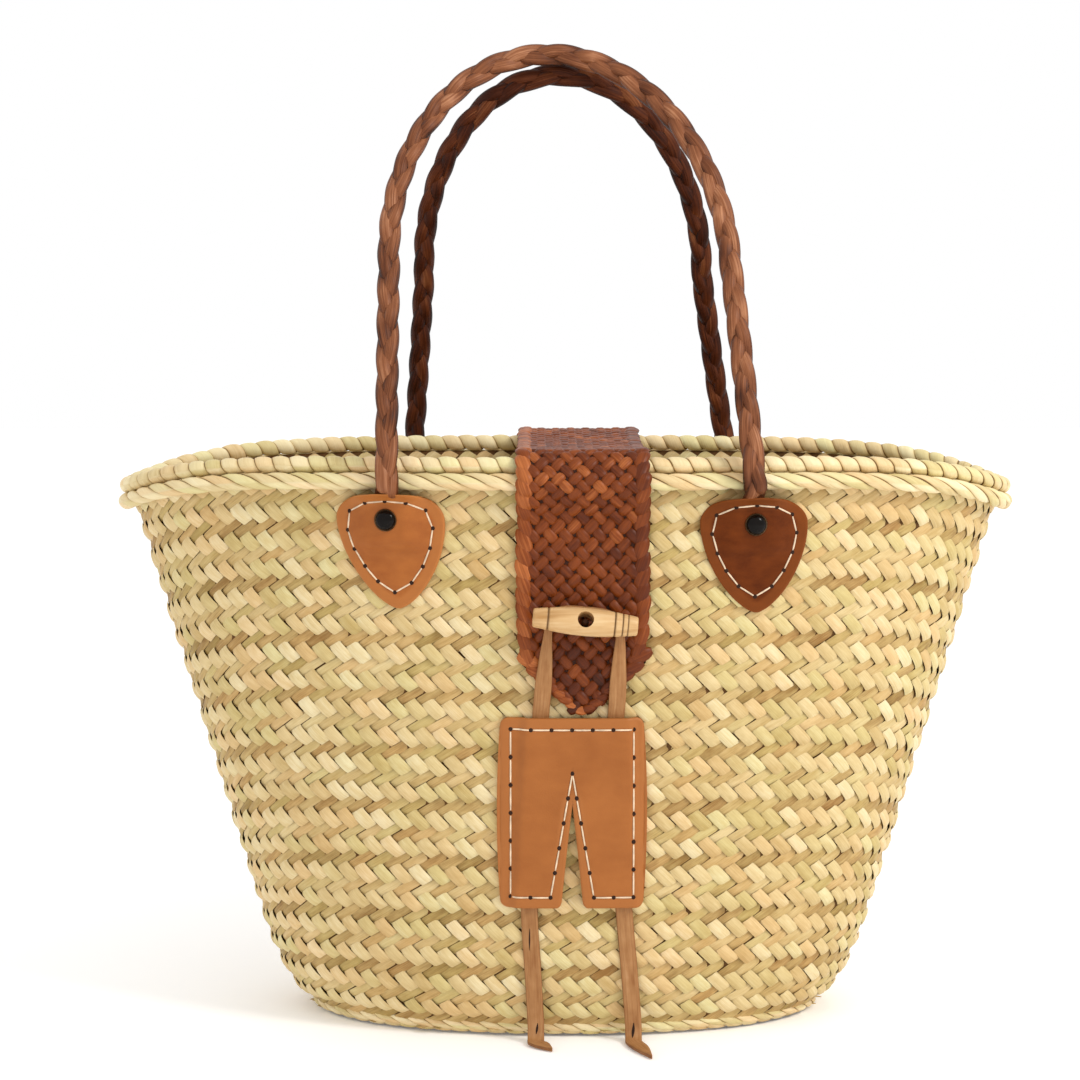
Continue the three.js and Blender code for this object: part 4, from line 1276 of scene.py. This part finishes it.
def strap_shade_core():
    """A dark sheet of painted shade inside the strap, seen only between its strips."""
    columns = 9
    share = np.linspace(-1, 1, columns)
    u = share[None] * np.maximum(STRAP[:, 2] - STRAP_CORE_INSET, 0.6)[:, None]
    v = np.clip(np.broadcast_to(STRAP_LENGTH[:, None], u.shape), 1.5, STRAP_LENGTH[-1] - 1)
    under, top = (strap_surface(u, v, out).reshape(-1, 3) for out in (1.1, STRAP_THICKNESS - 1.3))
    shape = closed_sheet(under, top, len(STRAP), columns)
    make_piece("closure_strap_core", shape, STRAP_SHADE, ["closure_strap"])


# Toggle, lace and thong

STRAP_FACE = GAP + STRAP_THICKNESS
THONG_OUT = STRAP_FACE + GAP + THONG_THICKNESS / 2
TOGGLE_OUT = STRAP_FACE + 2 * GAP + THONG_THICKNESS + TOGGLE_SEAT * TOGGLE_DIAMETER / 2

# Share of the way from the toggle's middle to an end, share of its middle radius, and how much painted shade
# darkens it there, in the grooves
TOGGLE_PROFILE = [
    (-1.0, 0.5, 0.1), (-0.995, 0.6, 0.1), (-0.975, 0.67, 0), (-0.94, 0.69, 0), (-0.74, 0.79, 0),
    (-0.725, 0.78, 0.6), (-0.71, 0.735, 1), (-0.695, 0.79, 0.6), (-0.67, 0.82, 0), (-0.5, 0.905, 0),
    (-0.25, 0.98, 0), (0.0, 1.0, 0), (0.25, 0.98, 0), (0.42, 0.93, 0), (0.535, 0.885, 0), (0.55, 0.87, 0.6),
    (0.56, 0.81, 1), (0.575, 0.865, 0.6), (0.6, 0.865, 0), (0.685, 0.81, 0), (0.7, 0.79, 0.6),
    (0.71, 0.745, 1), (0.72, 0.785, 0.6), (0.74, 0.79, 0), (0.79, 0.765, 0), (0.8, 0.755, 0.5),
    (0.81, 0.715, 0.9), (0.82, 0.75, 0.5), (0.84, 0.75, 0), (0.94, 0.69, 0), (0.975, 0.67, 0),
    (0.995, 0.6, 0.1), (1.0, 0.5, 0.1),
]


def toggle():
    """A turned toggle with a bore through its middle, tilted a little, in front of the strap."""
    place = on_wall(-1, TOGGLE_CENTRE, TOGGLE_HEIGHT, TOGGLE_OUT)
    axis = np.array([math.cos(TOGGLE_TILT), 0, math.sin(TOGGLE_TILT)])
    up = np.array([-axis[2], 0, axis[0]])
    forward = np.array([0, -1.0, 0])
    sides = 48
    circle = unit_circle(up, forward, sides)
    rings = [place + axis * share * TOGGLE_LENGTH / 2 + circle * radius * TOGGLE_DIAMETER / 2
             for share, radius, _ in TOGGLE_PROFILE]
    # How much painted shade darkens each ring, deepest in the grooves
    dark = np.repeat([row[2] for row in TOGGLE_PROFILE], sides)
    sharp = 40
    piece = make_piece(
        "toggle_turned", tube(rings, {"groove": dark}), TOGGLE_WOOD, ["toggle"], sharp)
    bore_way = forward * math.cos(TOGGLE_BORE_TILT) + up * math.sin(TOGGLE_BORE_TILT)
    circle = unit_circle(axis, np.cross(axis, bore_way), 32)
    ends = (-TOGGLE_DIAMETER, TOGGLE_DIAMETER)
    rings = [place + circle * TOGGLE_BORE / 2 + bore_way * reach for reach in ends]
    drill = make_piece("toggle_drill", tube(rings), PAINTED_SHADE_DARK)
    cut = piece.modifiers.new("bore", "BOOLEAN")
    cut.object = drill
    cut.solver = "EXACT"
    graph = bpy.context.evaluated_depsgraph_get()
    bored = bpy.data.meshes.new_from_object(piece.evaluated_get(graph))
    piece.modifiers.clear()
    piece.data = bored
    bored.name = "toggle_turned"
    bored.shade_smooth()
    bored.set_sharp_from_angle(angle=math.radians(sharp))
    bpy.data.objects.remove(drill)
    start = place + bore_way * 1.5
    reach = (TOGGLE_OUT - STRAP_FACE) / math.cos(TOGGLE_BORE_TILT) - 0.5
    centres = [start - bore_way * reach * share for share in np.linspace(0, 1, 6)]
    girth = LACE_THICKNESS * np.array([0.6, 0.95, 1, 1, 1, 1])
    shape = tube(swept(centres, np.array([1.0, 0, 0]), girth, girth, 16, 1))
    make_piece("toggle_lace_leather", shape, LACE_LEATHER, ["toggle_lace"], 60)


# From the toggle down to the patch: share of the climb, how far out over the strap, and share of the width
THONG_CLIMB = [(0.86, 1, 0.5), (0.6, 1, 0.8), (0.34, 1, 1), (0.17, 1, 1), (0.02, 0.02, 1), (-0.1, 0, 1)]
# Share of the tail, and share of the width
THONG_TAPER = [(0.3, 1), (0.55, 0.78), (0.8, 0.4), (1, 0.06)]


def thong_leg(leg):
    """Rows of x, y, z, facing x, y, z and width down one leg, from behind the toggle to its tail's tip."""
    places = leg_places(leg)
    rows = []

    def lay(x, height, outward, width):
        rows.append([*on_wall(-1, x, height, outward), *wall_normal(-1, x, height), width])

    on_bag = GAP + THONG_THICKNESS / 2
    for rise, off, width in THONG_CLIMB:
        lay(lerp(places["top"], places["toggle"], max(rise, 0)), lerp(PATCH_TOP, TOGGLE_HEIGHT, rise),
            lerp(on_bag, THONG_OUT, off), THONG_WIDTH * width)
    for height in np.linspace(PATCH_TOP - 2 * THONG_WIDTH, PATCH_BOTTOM, 4):
        lay(leg_middle(leg, height), height, on_bag, THONG_WIDTH)
    lay(lerp(places["bottom"], places["land"], 0.5), THONG_HANGS * TUCK_HEIGHT, on_bag, THONG_WIDTH)
    bend_height = THONG_BEND + THONG_THICKNESS / 2 + FLOOR_CLEARANCE
    start = np.array([places["land"], rows[-1][1], bend_height])
    rows.append([*start, 0, -1, 0, THONG_WIDTH])
    for angle in np.linspace(0, np.pi / 2, 5)[1:]:
        place = start - [0, THONG_BEND * (1 - math.cos(angle)), THONG_BEND * math.sin(angle)]
        rows.append([*place, 0, -math.cos(angle), math.sin(angle), THONG_WIDTH])
    land = np.array(rows[-1][:3])
    tip = np.array([places["tip"], start[1] - leg["reach"] * THONG_TAIL, land[2]])
    for share, width in THONG_TAPER:
        rows.append([*lerp(land, tip, share), 0, 0, 1, THONG_WIDTH * width])
    return rows


# Where the dark lines of painted shade lie, in creases and along a crack: side of the bag's middle, heights
# between, shift across the lace, and width
THONG_CREASES = [
    ("bend_left", -1, 4, 12, 0.6, 1.3),
    ("bend_right", 1, 2, 13, 0.2, 1.7),
    ("crack_left", -1, 50, 66, -0.6, 0.8),
]


def thong():
    """One lace: up a leg under the patch, round behind the toggle, and down the other leg."""
    left, right = (leg_places(leg) for leg in THONG_LEGS)
    crossing = []
    for share, up in ((0.02, -0.1), (0.18, 0.85), (0.5, 1), (0.82, 0.85), (0.98, -0.1)):
        x = lerp(left["toggle"], right["toggle"], share)
        height = TOGGLE_HEIGHT + math.tan(TOGGLE_TILT) * (x - TOGGLE_CENTRE) + up * THONG_OVER_AXIS
        crossing.append([*on_wall(-1, x, height, THONG_OUT), *wall_normal(-1, x, height), THONG_NARROW])
    rows = catmull_rom(thong_leg(THONG_LEGS[0])[::-1] + crossing + thong_leg(THONG_LEGS[1]), 8)
    sides = 16
    rings = swept(rows[:, :3], rows[:, 3:6], rows[:, 6], THONG_THICKNESS, sides, THONG_SQUARENESS)
    turn = 2 * np.pi * (np.arange(sides) + 0.5) / sides
    edge = np.tile(np.where(np.abs(np.cos(turn)) > 0.9, -0.28, 0.0), len(rows))
    lengths = np.repeat(along(rows[:, :3]), sides)
    grain = np.column_stack([lengths, np.tile(np.cos(turn) * THONG_WIDTH / 2, len(rows)), 0 * lengths + 0.5])
    shape = tube(rings, {"tone": 0.5 + edge, "grain": grain})
    make_piece("closure_thong_leather", shape, THONG_LEATHER, ["closure_thong"], 60)
    # Dark lines of painted shade laid on the lace, in its creases at the bends and along its crack
    for name, side, low, high, shift, width in THONG_CREASES:
        here = (side * (rows[:, 0] - STRAP_CENTRE) > 0) & (rows[:, 2] > low) & (rows[:, 2] < high)
        part = resampled(rows[here][:, :6], 12)
        share = np.linspace(0, 1, 12)[:, None]
        across = unit(np.cross(np.gradient(part[:, :3], axis=0), part[:, 3:6]))
        line = part[:, :3] + part[:, 3:6] * (THONG_THICKNESS / 2 - 0.05) + across * (shift + share - 0.5)
        widths = width * np.sin(np.pi * lerp(0.04, 0.96, share[:, 0])) + 0.1
        shape = tube(swept(line, part[:, 3:6], widths, 0.4, 8, 1))
        make_piece(f"closure_thong_{name}", shape, PAINTED_SHADE_DARK)


# Studio

KEY_PLACE = (1200, -900, 1300)
KEY_SIZE = 450
KEY_POWER = 14.0
KEY_COLOUR = (1.0, 0.985, 0.955)
CAMERA_PLACE = (-14.7, -1700, 437)
CAMERA_DOWN = 5.43
CAMERA_LENS = 96.9
FLOOR_REACH = 6.0
FLOOR_SINK = 0.0004


def studio():
    """A pale floor, an even pale surround, a key light from the right, and the photograph's camera."""
    scene = bpy.context.scene
    scene.view_settings.view_transform = "Standard"
    world = bpy.data.worlds.new("studio")
    scene.world = world
    world.use_nodes = True
    background = world.node_tree.nodes["Background"]
    background.inputs["Color"].default_value = (1, 1, 1, 1)
    background.inputs["Strength"].default_value = 1.0
    mesh = bpy.data.meshes.new("floor")
    signs = ((-1, -1), (1, -1), (1, 1), (-1, 1))
    corners = [(x * FLOOR_REACH, y * FLOOR_REACH, -FLOOR_SINK) for x, y in signs]
    mesh.from_pydata(corners, [], [(0, 1, 2, 3)])
    material, _, _, shader = new_material("floor", 0.9, shine=0.1)
    shader.inputs["Base Color"].default_value = (0.985, 0.985, 0.985, 1)
    shader.inputs["Emission Color"].default_value = (1, 1, 1, 1)
    shader.inputs["Emission Strength"].default_value = 0.1
    mesh.materials.append(material)
    floor = bpy.data.objects.new("floor", mesh)
    bpy.context.collection.objects.link(floor)
    data = bpy.data.lights.new("key", "AREA")
    data.size = KEY_SIZE * MM
    data.energy = KEY_POWER
    data.color = KEY_COLOUR
    light = bpy.data.objects.new("key", data)
    light.location = [c * MM for c in KEY_PLACE]
    aim = np.array([0, 0, 200]) - np.array(KEY_PLACE)
    horizontal = math.hypot(aim[0], aim[1])
    light.rotation_euler = (math.atan2(horizontal, -aim[2]), 0, math.atan2(-aim[0], aim[1]))
    bpy.context.collection.objects.link(light)
    camera_data = bpy.data.cameras.new("camera")
    camera_data.sensor_width = 36
    camera_data.lens = CAMERA_LENS
    camera_data.clip_end = 50
    camera = bpy.data.objects.new("camera", camera_data)
    camera.location = [c * MM for c in CAMERA_PLACE]
    camera.rotation_euler = (math.radians(90 - CAMERA_DOWN), 0, 0)
    bpy.context.collection.objects.link(camera)
    scene.camera = camera


studio()
basket_shade_core()
basket_weave()
base_weave()
rim()
handle(HANDLES[0], BRAID, "braid_leather_light")
handle(HANDLES[1], BRAID_BACK, "braid_leather_dark")
for handle_row in HANDLES:
    for foot in handle_row["feet"]:
        tab(handle_row, foot)
patch()
strap_shade_core()
strap_weave()
toggle()
thong()
